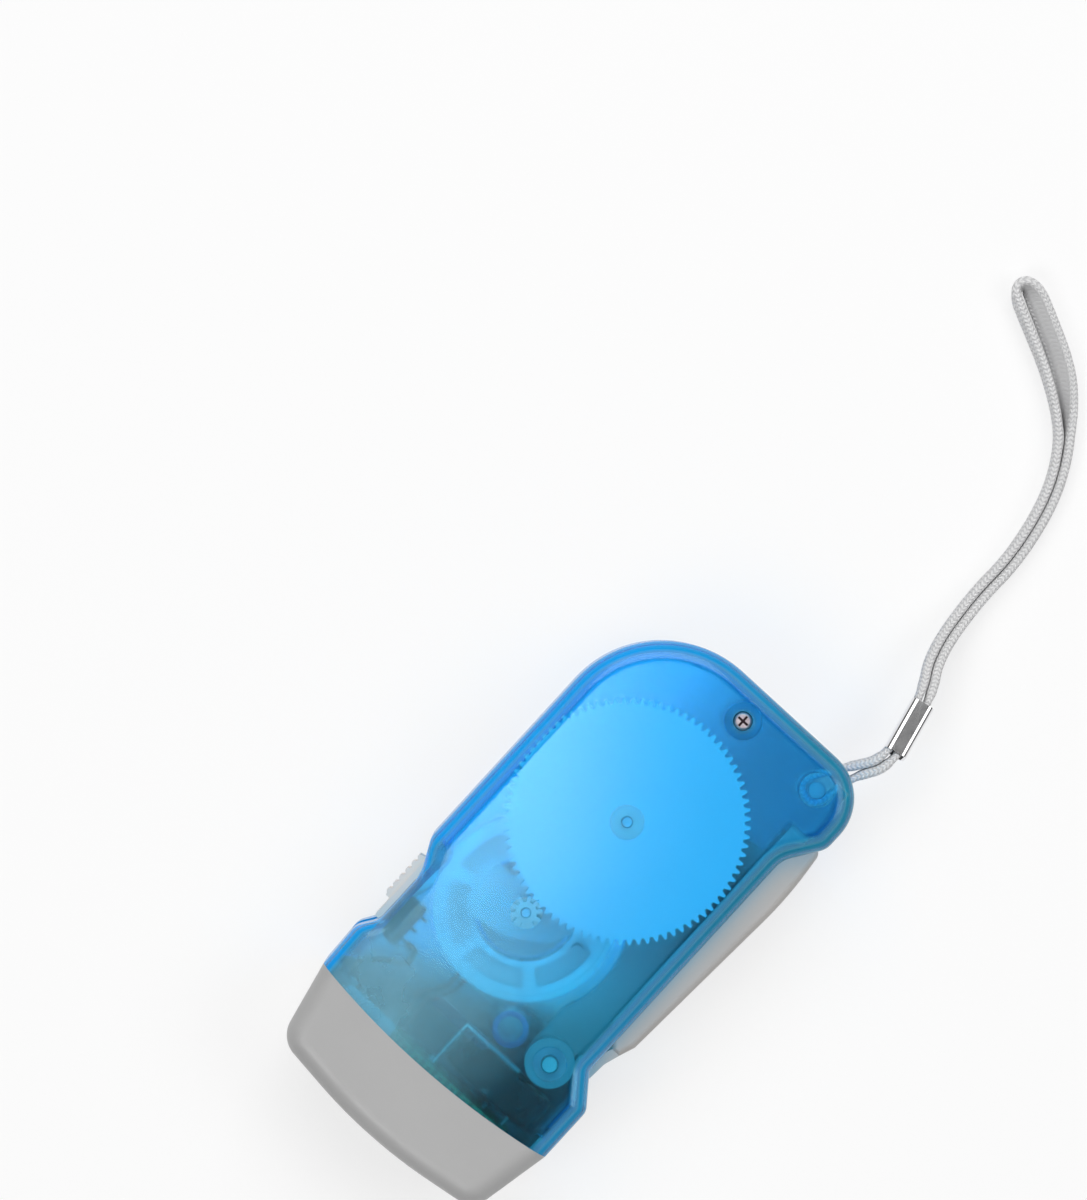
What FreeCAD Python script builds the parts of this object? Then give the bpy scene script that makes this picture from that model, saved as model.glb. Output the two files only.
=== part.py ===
import FreeCAD, Part
import math
import os
import re
import Sketcher

# A hand dynamo torch with a squeeze lever, lying on its flat back.
# Millimetres. X runs along the beam, Y towards the lever, Z up towards the face with the screw.
# The origin lies on the back face, under the axle of the large gear.

Vector = FreeCAD.Vector
document = FreeCAD.newDocument("squeeze_torch")

# alias, value, what it is
driving_sizes = [
    ("thickness", 27.0, "housing across its two broad faces"),
    ("seam_height", 13.5, "joint between the two shells"),
    ("wall", 1.6, "shell wall"),
    ("edge_round", 3.6, "rounded edge of the broad faces"),
    ("fit", 0.1, "clearance between fixed moulded pieces"),
    ("running", 0.05, "radial clearance of a turning fit"),
    ("free", 0.4, "clearance beside a moving piece"),
    ("tail_end", 32.7, "large gear axle to the tail"),
    ("tail_radius", 20.5, "large tail corner"),
    ("switch_side", 23.25, "large gear axle to the switch edge"),
    ("lever_side", 24.3, "large gear axle to the lever edge"),
    ("bulge_side", 28.75, "large gear axle to the two bulges of the lever edge"),
    ("bulge_corner", 9.5, "small tail corner"),
    ("tail_bulge_near", 13.2, "where the tail bulge starts"),
    ("tail_bulge_far", 19.8, "where the tail bulge is full"),
    ("head_bulge_near", 36.1, "where the head bulge starts"),
    ("head_bulge_far", 41.8, "where the head bulge is full"),
    ("head_side", 22.2, "switch edge at the seam with the hood"),
    ("taper_start", 24.8, "where the switch edge starts to taper"),
    ("seam_switch", 53.5, "seam with the hood at the switch edge"),
    ("seam_lever", 52.3, "seam with the hood at the lever edge"),
    ("seam_crown", 56.8, "corner that the curved seam is rounded from"),
    ("seam_crown_side", 4.0, "where that corner lies across the body"),
    ("seam_curve", 0.92, "share of the seam's shorter half that is curved"),
    ("hood_nose", 70.9, "corner that the curved nose is rounded from"),
    ("hood_nose_side", 4.0, "where that corner lies across the body"),
    ("nose_curve", 0.58, "share of the nose's shorter half that is curved"),
    ("hood_switch", 68.2, "nose corner on the switch side, along the beam"),
    ("hood_switch_side", 18.9, "nose corner on the switch side, across"),
    ("hood_lever", 67.6, "nose corner on the lever side, along the beam"),
    ("hood_lever_side", 25.7, "nose corner on the lever side, across"),
    ("hood_corner", 5.0, "rounding of the nose corners"),
    ("hood_wall", 1.8, "wall of the hood"),
    ("hood_tongue", 1.8, "depth of the hood's tongues in the shells"),
    ("tongue_wall", 1.2, "thickness of those tongues"),
    ("seam_rebate", 0.35, "depth of the rebate inside the shells, along the seam"),
    ("tongue_start", 16.6, "broad-face tongue, outer end"),
    ("tongue_stop", 5.4, "broad-face tongue, inner end"),
    ("scallop_depth", 3.15, "thumb scallop below the switch edge"),
    ("scallop_rear", 30.9, "scallop floor, rear end"),
    ("scallop_front", 41.4, "scallop floor, front end"),
    ("scallop_rear_slope", 6.1, "length of the rear slope"),
    ("scallop_front_slope", 3.5, "length of the front slope"),
    ("groove_rear", 28.0, "slide groove, rear end"),
    ("groove_front", 46.2, "slide groove, front end"),
    ("slide_width", 7.0, "width of the thumb slide"),
    ("slide_plate_length", 13.5, "length of the slide's plate"),
    ("slide_plate", 1.1, "thickness of the slide's plate"),
    ("slide_rear", 28.3, "rear end of the slide, switched off"),
    ("slide_pad_length", 9.6, "length of the ribbed pad"),
    ("slide_pad", 1.3, "height of the ribbed pad"),
    ("slide_ribs", 6, "ribs across the pad"),
    ("slide_travel", 3.2, "travel of the thumb slide"),
    ("stem_rear", 35.6, "rear side of the slide's stem"),
    ("stem_length", 1.8, "length of the stem along the slide"),
    ("stem_width", 2.4, "width of the stem"),
    ("stem_depth", 2.4, "stem below the slide's plate"),
    ("switch_length", 8.6, "slide switch along the edge"),
    ("switch_depth", 3.5, "slide switch behind the wall"),
    ("switch_width", 3.8, "slide switch across"),
    ("peg_radius", 1.2, "peg that holds the slide switch down"),
    ("gear_teeth", 84, "teeth of the large gear"),
    ("rotor_teeth", 10, "teeth of the rotor pinion"),
    ("fine_module", 0.5, "tooth module of gear and rotor"),
    ("rotor_bearing", -5.6, "direction from the gear axle to the rotor axle, degrees"),
    ("rack_teeth", 122, "teeth of the full circle that the lever's rack is a part of"),
    ("pinion_teeth", 12, "teeth of the drive pinion"),
    ("coarse_module", 0.8, "tooth module of rack and drive pinion"),
    ("pivot_bearing", 24.8, "direction from the gear axle to the lever pivot, degrees"),
    ("lever_travel", 20.0, "swing of the lever, degrees"),
    ("rack_band", 2.4, "rack behind its teeth"),
    ("web_low", 12.0, "underside of the lever's web"),
    ("web_thick", 3.0, "thickness of web and rack"),
    ("hub_radius", 4.4, "lever hub"),
    ("hub_neck_radius", 2.7, "lower lever hub, inside the spring"),
    ("grip_width", 14.4, "grip across the thickness of the torch"),
    ("grip_wall", 1.7, "wall of the grip"),
    ("grip_depth", 8.0, "depth of the grip's side walls"),
    ("grip_crown", 29.7, "crown of the grip, from the large gear axle"),
    ("grip_front", 29.5, "front end of the grip"),
    ("grip_tail", 19.1, "tail end of the grip"),
    ("grip_ribs", 4, "cross ribs in the grip"),
    ("web_relief", 18.3, "web's clearance round the generator"),
    ("gear_low", 20.4, "underside of the large gear"),
    ("gear_thick", 2.4, "thickness of the large gear"),
    ("cup_radius", 9.0, "ratchet cup under the large gear"),
    ("cup_wall", 1.4, "wall of that cup"),
    ("cup_low", 16.3, "rim of that cup"),
    ("ratchet_radius", 5.4, "tips of the ratchet wheel"),
    ("ratchet_root", 4.1, "roots of the ratchet wheel"),
    ("ratchet_teeth", 8, "teeth of the ratchet wheel"),
    ("pinion_low", 11.6, "underside of the drive pinion"),
    ("ratchet_low", 16.0, "underside of the ratchet wheel"),
    ("gear_axle_radius", 1.0, "steel axle of the large gear"),
    ("rotor_axle_radius", 0.9, "steel axle of the rotor"),
    ("pivot_pin_radius", 1.5, "steel pivot pin of the lever"),
    ("boss_radius", 3.0, "bosses of gear axle and pivot pin"),
    ("rotor_boss_radius", 2.8, "bosses of the rotor axle"),
    ("can_radius", 16.3, "generator can"),
    ("can_low", 2.4, "underside of the generator can"),
    ("can_height", 9.0, "height of the generator can"),
    ("can_sheet", 1.0, "sheet of the can"),
    ("can_window", 13.8, "outer side of the windows in the top plate"),
    ("claw_radius", 9.2, "inner side of the claws"),
    ("claw_sheet", 0.8, "thickness of the claws"),
    ("claws", 6, "claws on each plate"),
    ("claw_angle", 22.0, "width of a claw, degrees"),
    ("magnet_radius", 8.4, "ring magnet"),
    ("magnet_low", 3.8, "underside of the magnet"),
    ("magnet_height", 6.6, "height of the magnet"),
    ("rotor_hub_radius", 2.3, "hub of the rotor"),
    ("bobbin_inner", 10.3, "bore of the coil bobbin"),
    ("bobbin_tube", 0.8, "tube and flanges of the bobbin"),
    ("bobbin_radius", 15.1, "flanges of the bobbin"),
    ("coil_radius", 14.3, "outside of the winding"),
    ("bridge_low", 12.6, "underside of the bearing bridge"),
    ("bridge_thick", 1.6, "thickness of the bearing bridge"),
    ("screw_along", 26.4, "screw behind the large gear axle"),
    ("screw_side", 3.0, "screw towards the lever"),
    ("screw_boss_radius", 3.3, "boss round the screw"),
    ("screw_head_radius", 1.7, "screw head"),
    ("screw_shank_radius", 0.95, "screw shank"),
    ("screw_seat", 23.6, "seat of the screw head"),
    ("screw_length", 17.0, "screw below its head"),
    ("post_along", 26.2, "strap post behind the large gear axle"),
    ("post_side", 20.5, "strap post towards the lever"),
    ("post_radius", 1.4, "strap post"),
    ("post_boss_radius", 3.1, "bosses above and below the strap"),
    ("strap_gap", 5.6, "room for the strap between those bosses"),
    ("strap_eye", 7.8, "eye for the strap, across"),
    ("locator_along", 40.0, "locating boss, along the beam"),
    ("locator_side", 9.3, "locating boss, towards the lever"),
    ("locator_radius", 3.2, "locating boss"),
    ("locator_bore", 2.2, "bore of the locating boss"),
    ("cell_radius", 10.0, "coin cells in their sleeve"),
    ("cell_stack", 6.6, "two cells and the sleeve"),
    ("cell_front", 51.8, "front face of the cell pack"),
    ("cell_side", 14.0, "centre of the cell pack towards the lever"),
    ("lamp_pitch", 12.4, "lamp to lamp"),
    ("lamp_centre", 3.0, "middle lamp towards the lever"),
    ("lamp_radius", 2.5, "lamp"),
    ("lamp_length", 7.4, "lamp from flange to tip"),
    ("board_rear", 54.0, "rear face of the lamp board"),
    ("board_thick", 1.5, "lamp board"),
    ("board_length", 37.0, "lamp board across the body"),
    ("board_height", 19.0, "lamp board across the thickness"),
    ("reflector_front", 65.4, "front face of the reflector"),
    ("reflector_length", 38.0, "reflector across the body"),
    ("reflector_height", 21.0, "reflector across the thickness"),
    ("reflector_corner", 7.0, "rounding of the reflector's face"),
    ("reflector_plate", 1.2, "plate of the reflector"),
    ("cup_front", 5.6, "mouth of a reflector cup"),
    ("cup_rear", 2.9, "rear hole of a reflector cup"),
    ("cup_skin", 0.8, "wall of a reflector cup"),
    ("lens_thick", 1.6, "front lens"),
    ("lens_margin", 1.4, "lens covered by the hood's rim"),
    ("spring_wire", 0.8, "wire of the return spring"),
    ("spring_radius", 3.5, "mean radius of the spring"),
    ("spring_turns", 3.75, "turns of the spring"),
    ("spring_pitch", 1.3, "rise of a turn"),
    ("spring_low", 5.8, "lowest wire centre of the spring"),
    ("strap_width", 4.5, "woven tape, across"),
    ("strap_tape", 1.4, "woven tape, thickness"),
    ("strap_legs", 1.8, "between the middles of the two legs"),
    ("ferrule_length", 10.0, "crimped ferrule"),
    ("ferrule_sheet", 0.45, "sheet of the ferrule"),
    ("wire_radius", 0.55, "insulated lamp wire"),
    ("lead_radius", 0.4, "insulated leads of the coil"),
]

sheet = document.addObject("Spreadsheet::Sheet", "sizes")
for row, (alias, value, meaning) in enumerate(driving_sizes, 1):
    sheet.set("A%d" % row, meaning)
    sheet.set("B%d" % row, str(value))
    sheet.setAlias("B%d" % row, alias)
document.recompute()
size = {alias: float(sheet.get(alias)) for alias, value, meaning in driving_sizes}


def formula(text):
    """Point each alias in a formula at its cell of the sheet."""
    return re.sub(r"[a-z][a-z_]*", lambda word: "sizes." + word[0] if word[0] in size else word[0], text)


def bind(item, attribute, text):
    item.setExpression(attribute, formula(text))


# Outlines

def unit(vector):
    return vector / vector.Length


def arc_about(centre, radius, start, end):
    """An arc that runs anticlockwise from one point to another."""
    first = math.atan2(start.y - centre.y, start.x - centre.x)
    last = math.atan2(end.y - centre.y, end.x - centre.x)
    if last < first:
        last += 2 * math.pi
    return Part.ArcOfCircle(Part.Circle(centre, Vector(0, 0, 1), radius), first, last)


def rounded(corners, inset=0.0):
    """Lines and tangent arcs through rounded corners (x, y, radius), moved inwards by inset."""
    points = [Vector(x, y, 0) for x, y, radius in corners]
    count = len(points)
    area = sum(points[i - 1].x * points[i].y - points[i].x * points[i - 1].y for i in range(count))
    if area < 0:
        return rounded(corners[::-1], inset)
    shape = []
    for i in range(count):
        before = unit(points[i] - points[i - 1])
        after = unit(points[(i + 1) % count] - points[i])
        side = Vector(-before.y, before.x, 0)
        next_side = Vector(-after.y, after.x, 0)
        corner = points[i] + (side + next_side) * (inset / (1 + side.dot(next_side)))
        turn = math.atan2(before.x * after.y - before.y * after.x, before.dot(after))
        way = math.copysign(1, turn)
        radius = corners[i][2] - way * inset if corners[i][2] else 0.0
        reach = max(radius, 0.0) * math.tan(abs(turn) / 2)
        entry = corner - before * reach
        leave = corner + after * reach
        shape.append((entry, leave, entry + side * (way * radius), radius, way))
    geometry = []
    for i in range(count):
        entry, leave, centre, radius, way = shape[i]
        last = shape[i - 1][1]
        if (entry - last).Length > 1e-6:
            geometry.append(Part.LineSegment(last, entry))
        if (leave - entry).Length > 1e-6:
            ends = (entry, leave) if way > 0 else (leave, entry)
            geometry.append(arc_about(centre, radius, *ends))
    return geometry


def closed(points):
    """Straight lines through points and back to the first."""
    return [Part.LineSegment(points[i - 1], points[i]) for i in range(len(points))]


def box_loop(x0, x1, y0, y1, radius=0.0):
    return rounded([(x0, y0, radius), (x1, y0, radius), (x1, y1, radius), (x0, y1, radius)])


def circle_at(x, y, radius):
    """A circle whose radius is a formula on the sheet."""
    return ("circle", x, y, radius)


# Bodies and their features

def new_body(label):
    body = document.addObject("PartDesign::Body", label)
    body.Label = label
    return body


def origin_item(body, role):
    return [item for item in body.Origin.OriginFeatures if item.Role == role][0]


def sketch(body, name, loops, height, plane):
    item = body.newObject("Sketcher::SketchObject", name)
    item.AttachmentSupport = [(origin_item(body, plane), "")]
    item.MapMode = "FlatFace"
    bind(item, "AttachmentOffset.Base.z", height)
    for loop in loops:
        if loop[0] == "circle":
            middle = Vector(loop[1], loop[2], 0)
            index = item.addGeometry(Part.Circle(middle, Vector(0, 0, 1), 1.0), False)
            rule = item.addConstraint(Sketcher.Constraint("Radius", index, 1.0))
            bind(item, "Constraints[%d]" % rule, loop[3])
        else:
            item.addGeometry(loop, False)
    return item


def add(body, name, loops, low, high, plane="XY_Plane"):
    """Material between two levels, given as formulas."""
    profile = sketch(body, name + "_outline", loops, low, plane)
    feature = body.newObject("PartDesign::Pad", name)
    feature.Profile = profile
    bind(feature, "Length", "(%s) - (%s)" % (high, low))
    document.recompute()
    return feature


def remove(body, name, loops, low, high, plane="XY_Plane"):
    """A cut between two levels. It starts at the high one and goes down."""
    before = body.Shape.Volume
    profile = sketch(body, name + "_outline", loops, high, plane)
    feature = body.newObject("PartDesign::Pocket", name)
    feature.Profile = profile
    bind(feature, "Length", "(%s) - (%s)" % (high, low))
    document.recompute()
    if body.Shape.Volume > before - 1e-6:
        raise RuntimeError("%s of %s cuts nothing" % (name, body.Label))
    return feature


def ring(body, name, feature, count, angle="360"):
    """Copies of a feature round the body's upright axis."""
    pattern = body.newObject("PartDesign::PolarPattern", name)
    pattern.Originals = [feature]
    pattern.Axis = (origin_item(body, "Z_Axis"), [""])
    bind(pattern, "Angle", angle)
    bind(pattern, "Occurrences", count)
    body.Tip = pattern
    document.recompute()
    return pattern


def soften(body, name, kind, picked, radius):
    """Fillet or chamfer the edges of the body's last feature that picked() accepts."""
    base = body.Tip
    edges = ["Edge%d" % (i + 1) for i, edge in enumerate(base.Shape.Edges) if picked(edge)]
    feature = body.newObject("PartDesign::" + kind, name)
    feature.Base = (base, edges)
    bind(feature, "Radius" if kind == "Fillet" else "Size", radius)
    document.recompute()
    return feature


def level(edge, height):
    box = edge.BoundBox
    return abs(box.ZMin - height) < 1e-4 and abs(box.ZMax - height) < 1e-4


def put(body, x="0", y="0", z="0"):
    """Place a body by formulas."""
    bind(body, "Placement.Base.x", x)
    bind(body, "Placement.Base.y", y)
    bind(body, "Placement.Base.z", z)


rotor_x = "fine_module * (gear_teeth + rotor_teeth) / 2 * cos(rotor_bearing)"
rotor_y = "fine_module * (gear_teeth + rotor_teeth) / 2 * sin(rotor_bearing)"
pivot_x = "coarse_module * (rack_teeth - pinion_teeth) / 2 * cos(pivot_bearing)"
pivot_y = "coarse_module * (rack_teeth - pinion_teeth) / 2 * sin(pivot_bearing)"
rotor_reach = size["fine_module"] * (size["gear_teeth"] + size["rotor_teeth"]) / 2
pivot_reach = size["coarse_module"] * (size["rack_teeth"] - size["pinion_teeth"]) / 2


def polar(reach, degrees):
    angle = math.radians(degrees)
    return Vector(reach * math.cos(angle), reach * math.sin(angle), 0)


rotor_at = polar(rotor_reach, size["rotor_bearing"])
pivot_at = polar(pivot_reach, size["pivot_bearing"])
screw_at = Vector(-size["screw_along"], size["screw_side"], 0)
post_at = Vector(-size["post_along"], size["post_side"], 0)
locator_at = Vector(size["locator_along"], size["locator_side"], 0)


# Housing outline, anticlockwise from the large tail corner

def bowed(start, crown, end, share):
    """The corner at the crown with the radius whose arc takes this share of its shorter side."""
    sides = [Vector(*start, 0) - Vector(*crown, 0), Vector(*end, 0) - Vector(*crown, 0)]
    half = sides[0].getAngle(sides[1]) / 2
    return (*crown, share * min(side.Length for side in sides) * math.tan(half))


seam_switch_end = (size["seam_switch"], -size["head_side"])
seam_lever_end = (size["seam_lever"], size["bulge_side"])
seam_crown = bowed(seam_switch_end, (size["seam_crown"], size["seam_crown_side"]), seam_lever_end,
                   size["seam_curve"])
seam_front = max(size["seam_switch"], size["seam_crown"], size["seam_lever"])


def seam_corners(back=0.0):
    """The curved end of the shells, where the hood meets them."""
    corners = [(*seam_switch_end, 0), seam_crown, (*seam_lever_end, 0)]
    return [(x - back, y, radius) for x, y, radius in corners]


def lever_edge_corners():
    return [
        (size["head_bulge_far"], size["bulge_side"], 2.5),
        (size["head_bulge_near"], size["lever_side"], 1.5),
        (-size["tail_bulge_near"], size["lever_side"], 6.0),
        (-size["tail_bulge_far"], size["bulge_side"], 4.0),
        (-size["tail_end"], size["bulge_side"], size["bulge_corner"]),
        (-size["tail_end"], -size["switch_side"], size["tail_radius"]),
    ]


def housing_corners():
    taper = [(size["taper_start"], -size["switch_side"], 60.0)]
    return taper + seam_corners() + lever_edge_corners()


scallop_floor = -size["switch_side"] + size["scallop_depth"]


def cavity_sides():
    """The outline either side of the seam, with a seat behind the slide groove."""
    rear = size["groove_rear"] - size["wall"]
    front = size["groove_front"] + size["wall"]
    seat = [
        (rear - 3.0, -size["switch_side"], 0),
        (rear, scallop_floor, 0),
        (front, scallop_floor, 0),
        (front + 1.5, -size["head_side"], 0),
    ]
    return seat, lever_edge_corners()


def cavity_loop(inset):
    """Inside of the shells. The front is open."""
    seat, lever_edge = cavity_sides()
    reach = seam_front + 10.0
    front = [(reach, -size["head_side"], 0), (reach, size["bulge_side"], 0)]
    return rounded(seat + front + lever_edge, inset)


def on_seam(edge):
    """True for an edge on the curved seam."""
    middle = edge.valueAt((edge.FirstParameter + edge.LastParameter) / 2)
    return min(size["seam_switch"], size["seam_lever"]) - 0.01 < middle.x < seam_front - 0.01


def inner_edge(edge):
    """True for an edge of the hollow beside a broad face, apart from the seat of the slide."""
    flat = level(edge, size["wall"]) or level(edge, size["thickness"] - size["wall"])
    middle = edge.valueAt((edge.FirstParameter + edge.LastParameter) / 2)
    beside_seat = size["groove_rear"] - 5.0 < middle.x and middle.y < 0
    return flat and not on_seam(edge) and not beside_seat


def broad_edge(edge):
    """True for an edge round a broad face, apart from those on the seam."""
    return (level(edge, 0.0) or level(edge, size["thickness"])) and not on_seam(edge)


scallop_rear_end = size["scallop_rear"] - size["scallop_rear_slope"] * 1.2
scallop_front_end = size["scallop_front"] + size["scallop_front_slope"] * 1.2
scallop_loop = [
    (scallop_rear_end, scallop_floor - size["scallop_depth"] * 1.2, 0),
    (size["scallop_rear"], scallop_floor, 9.0),
    (size["scallop_front"], scallop_floor, 4.0),
    (scallop_front_end, scallop_floor - size["scallop_depth"] * 0.9, 0),
    (scallop_front_end, scallop_floor - size["scallop_depth"] * 2, 0),
    (scallop_rear_end, scallop_floor - size["scallop_depth"] * 2, 0),
]


def scallop_end(edge):
    """True for the upright edges where the scallop meets the switch edge."""
    box = edge.BoundBox
    at_rear = abs(box.XMin - (size["scallop_rear"] - size["scallop_rear_slope"])) < 0.4
    at_front = abs(box.XMax - (size["scallop_front"] + size["scallop_front_slope"])) < 0.4
    return box.ZLength > 1.0 and (at_rear or at_front)


stem_slot = (size["stem_rear"] - 0.3, size["stem_rear"] + size["stem_length"] + size["slide_travel"] + 0.3)
lever_slot_front = size["head_bulge_far"] - 0.2
lever_slot_rear = -size["grip_tail"] - size["free"]


def build_shell(label, low, high, inner_low, inner_high):
    """One half of the housing, between two levels and hollow between two others."""
    body = new_body(label)
    add(body, "wall", [rounded(housing_corners())], low, high)
    soften(body, "edge_round", "Fillet", broad_edge, "edge_round")
    remove(body, "cavity", [cavity_loop(size["wall"])], inner_low, inner_high)
    soften(body, "inner_round", "Fillet", inner_edge, "edge_round - wall")
    remove(body, "thumb_scallop", [rounded(scallop_loop)], low, high)
    soften(body, "scallop_ends", "Fillet", scallop_end, "3.0")
    return body


front_shell = build_shell("front_shell", "seam_height", "thickness", "seam_height", "thickness - wall")
back_shell = build_shell("back_shell", "0", "seam_height", "wall", "seam_height")

# Tongue round the joint: it stands on the back shell and reaches inside the front one
lip_root = [cavity_loop(size["wall"] - 0.2), cavity_loop(size["wall"] + size["fit"] + 0.8)]
lip_top = [cavity_loop(size["wall"] + size["fit"]), cavity_loop(size["wall"] + size["fit"] + 0.8)]
add(back_shell, "joint_tongue_root", lip_root, "seam_height - 1.6", "seam_height")
add(back_shell, "joint_tongue", lip_top, "seam_height", "seam_height + 1.0")
past_seam = seam_front + 12.0
behind_slide = box_loop(size["groove_rear"] - 4.0, past_seam, -size["switch_side"], -13.0)
remove(back_shell, "joint_tongue_slide_gap", [behind_slide], "seam_height", "seam_height + 1.0")
switch_pocket = box_loop(size["stem_rear"] - 1.0, size["stem_rear"] + size["switch_length"],
                         scallop_floor + size["wall"], -13.0)
remove(back_shell, "switch_pocket", [switch_pocket], "seam_height - 1.6", "seam_height")
front_end = box_loop(size["seam_lever"] - 3.5, past_seam,
                     -size["head_side"] + size["wall"], size["bulge_side"] - size["wall"])
remove(back_shell, "joint_tongue_front_gap", [front_end], "seam_height - 1.6", "seam_height + 1.0")
beyond_seam = [(past_seam, size["bulge_side"], 0), (past_seam, -size["head_side"], 0)]
remove(back_shell, "joint_tongue_end", [rounded(seam_corners() + beyond_seam)],
       "seam_height - 1.6", "seam_height + 1.0")

# Rebate along the seam, where the broad faces get thinner to let the hood's tongues in
rebate_far = size["bulge_side"] - size["edge_round"] - 0.4
rebate_near = size["edge_round"] + 0.4 - size["head_side"]
rebate_back = seam_corners(size["hood_tongue"] + 0.3)
rebate = [(x, min(max(y, rebate_near), rebate_far), radius) for x, y, radius in rebate_back]
rebate = rounded(rebate + [(past_seam, rebate_far, 0), (past_seam, rebate_near, 0)])
remove(front_shell, "seam_rebate", [rebate], "thickness - wall", "thickness - wall + seam_rebate")
remove(back_shell, "seam_rebate", [rebate], "wall - seam_rebate", "wall")

# Slot for the lever, slot for the thumb slide and eye for the strap, half in each shell
lever_slot = box_loop(lever_slot_rear, lever_slot_front, size["lever_side"] - 4.4, size["bulge_side"] + 4.0)
slot_low = "seam_height - grip_width / 2 - free"
slot_high = "seam_height + grip_width / 2 + free"
groove = box_loop(size["groove_rear"], size["groove_front"], -size["switch_side"] - 2.0, scallop_floor)
groove_low = "seam_height - slide_width / 2 - free"
groove_high = "seam_height + slide_width / 2 + free"
stem_hole = box_loop(stem_slot[0], stem_slot[1], scallop_floor - 1.0, scallop_floor + size["wall"] + 1.0)
stem_low = "seam_height - stem_width / 2 - free"
stem_high = "seam_height + stem_width / 2 + free"
strap_out = Vector(-size["tail_end"], size["post_side"] + 2.8, 0)
eye_reach = size["strap_eye"] / 2
strap_eye = box_loop(strap_out.x - 3.0, post_at.x - 1.6,
                     strap_out.y - 0.2 - eye_reach, strap_out.y - 0.2 + eye_reach)
eye_low = "seam_height - strap_gap / 2"
eye_high = "seam_height + strap_gap / 2"
for body, low, high in ((front_shell, None, "thickness"), (back_shell, "0", None)):
    for name, loop, bottom, top in (
        ("lever_slot", lever_slot, slot_low, slot_high),
        ("slide_groove", groove, groove_low, groove_high),
        ("stem_slot", stem_hole, stem_low, stem_high),
        ("strap_eye", strap_eye, eye_low, eye_high),
    ):
        reach_low = "seam_height" if low is None else bottom
        reach_high = top if low is None else "seam_height + 1.0"
        remove(body, name, [loop], reach_low, reach_high)

ceiling = "thickness - wall"


def bosses(body, name, spots, low, high):
    """Round bosses (x, y, radius, bore) between two levels. A bore of None leaves one solid."""
    loops = [circle_at(x, y, radius) for x, y, radius, bore in spots]
    loops += [circle_at(x, y, bore) for x, y, radius, bore in spots if bore]
    return add(body, name, loops, low, high)


# Front shell: bosses hang from the broad face
gear_boss_low = "gear_low + gear_thick + 0.9"
pivot_boss_low = "thickness - wall - 3.2"
screw_bore = "screw_shank_radius + fit"
bosses(front_shell, "joint_bosses", [
    (screw_at.x, screw_at.y, "screw_boss_radius", screw_bore),
    (locator_at.x, locator_at.y, "locator_radius", "locator_bore"),
], "seam_height", ceiling)
bosses(front_shell, "gear_boss", [(0, 0, "boss_radius", "gear_axle_radius")], gear_boss_low, ceiling)
bosses(front_shell, "rotor_boss", [(rotor_at.x, rotor_at.y, "rotor_boss_radius", "rotor_axle_radius")],
       "thickness - wall - 1.4", ceiling)
bosses(front_shell, "pivot_boss", [(pivot_at.x, pivot_at.y, "boss_radius", "pivot_pin_radius")],
       pivot_boss_low, ceiling)
bosses(front_shell, "post_boss", [(post_at.x, post_at.y, "post_boss_radius", "post_radius + fit")],
       eye_high, ceiling)
bosses(front_shell, "switch_peg", [(43.2, -13.5, "peg_radius", None)],
       "seam_height + switch_width / 2 + fit", ceiling)
press_rib = box_loop(43.9, 46.0, -4.0, 8.6, 1.0)
add(front_shell, "press_rib", [press_rib], "seam_height + cell_radius - 1.3", ceiling)
remove(front_shell, "screw_counterbore", [circle_at(screw_at.x, screw_at.y, "screw_head_radius + 0.4")],
       "screw_seat", "thickness")

# Back shell: the bosses that stand opposite, the generator's seat and the cradle of the cells
gear_boss_high = "pinion_low - 0.3"
pivot_boss_high = "wall + 3.2"
bosses(back_shell, "joint_bosses", [
    (screw_at.x, screw_at.y, "screw_boss_radius", "screw_shank_radius"),
    (locator_at.x, locator_at.y, "locator_radius - 0.1", None),
], "wall", "seam_height")
bosses(back_shell, "locating_peg", [(locator_at.x, locator_at.y, "locator_bore - fit", None)],
       "seam_height", "seam_height + 3.0")
bosses(back_shell, "gear_boss", [(0, 0, "boss_radius", "gear_axle_radius")], "wall", gear_boss_high)
bosses(back_shell, "pivot_boss", [(pivot_at.x, pivot_at.y, "boss_radius", "pivot_pin_radius")],
       "wall", pivot_boss_high)
bosses(back_shell, "post_boss", [(post_at.x, post_at.y, "post_boss_radius", None)], "wall", eye_low)
bosses(back_shell, "strap_post", [(post_at.x, post_at.y, "post_radius", None)],
       eye_low, "thickness - wall - 0.6")
bosses(back_shell, "generator_seat", [
    (rotor_at.x, rotor_at.y, "can_radius - 1.0", "can_radius - 2.6"),
    (rotor_at.x, rotor_at.y, "rotor_boss_radius", "rotor_axle_radius"),
], "wall", "can_low")
cell_middle = size["cell_front"] - size["cell_stack"] / 2
cradle = box_loop(cell_middle - 1.2, cell_middle + 1.2, size["cell_side"] - 7.5, size["cell_side"] + 7.5)
add(back_shell, "cell_cradle", [cradle], "wall", "seam_height - cell_radius * 0.6")
cell_round = [circle_at(size["cell_side"], size["seam_height"], "cell_radius + fit")]
remove(back_shell, "cell_hollow", cell_round, "cell_front - cell_stack", "cell_front", "YZ_Plane")


# Pins and screw

def pin(label, x, y, radius, low, high):
    """A steel pin with broken ends."""
    body = new_body(label)
    add(body, "shank", [circle_at(0, 0, radius)], low, high)
    soften(body, "ends", "Chamfer", lambda edge: edge.BoundBox.ZLength < 1e-4, "0.2")
    put(body, x, y)
    return body


pin("gear_axle", "0", "0", "gear_axle_radius", "wall + 0.1", "thickness - wall - 0.1")
pin("rotor_axle", rotor_x, rotor_y, "rotor_axle_radius", "wall + 0.1", "thickness - wall - 0.1")
pin("lever_pivot_pin", pivot_x, pivot_y, "pivot_pin_radius", "wall + 0.1", "thickness - wall - 0.1")

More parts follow.
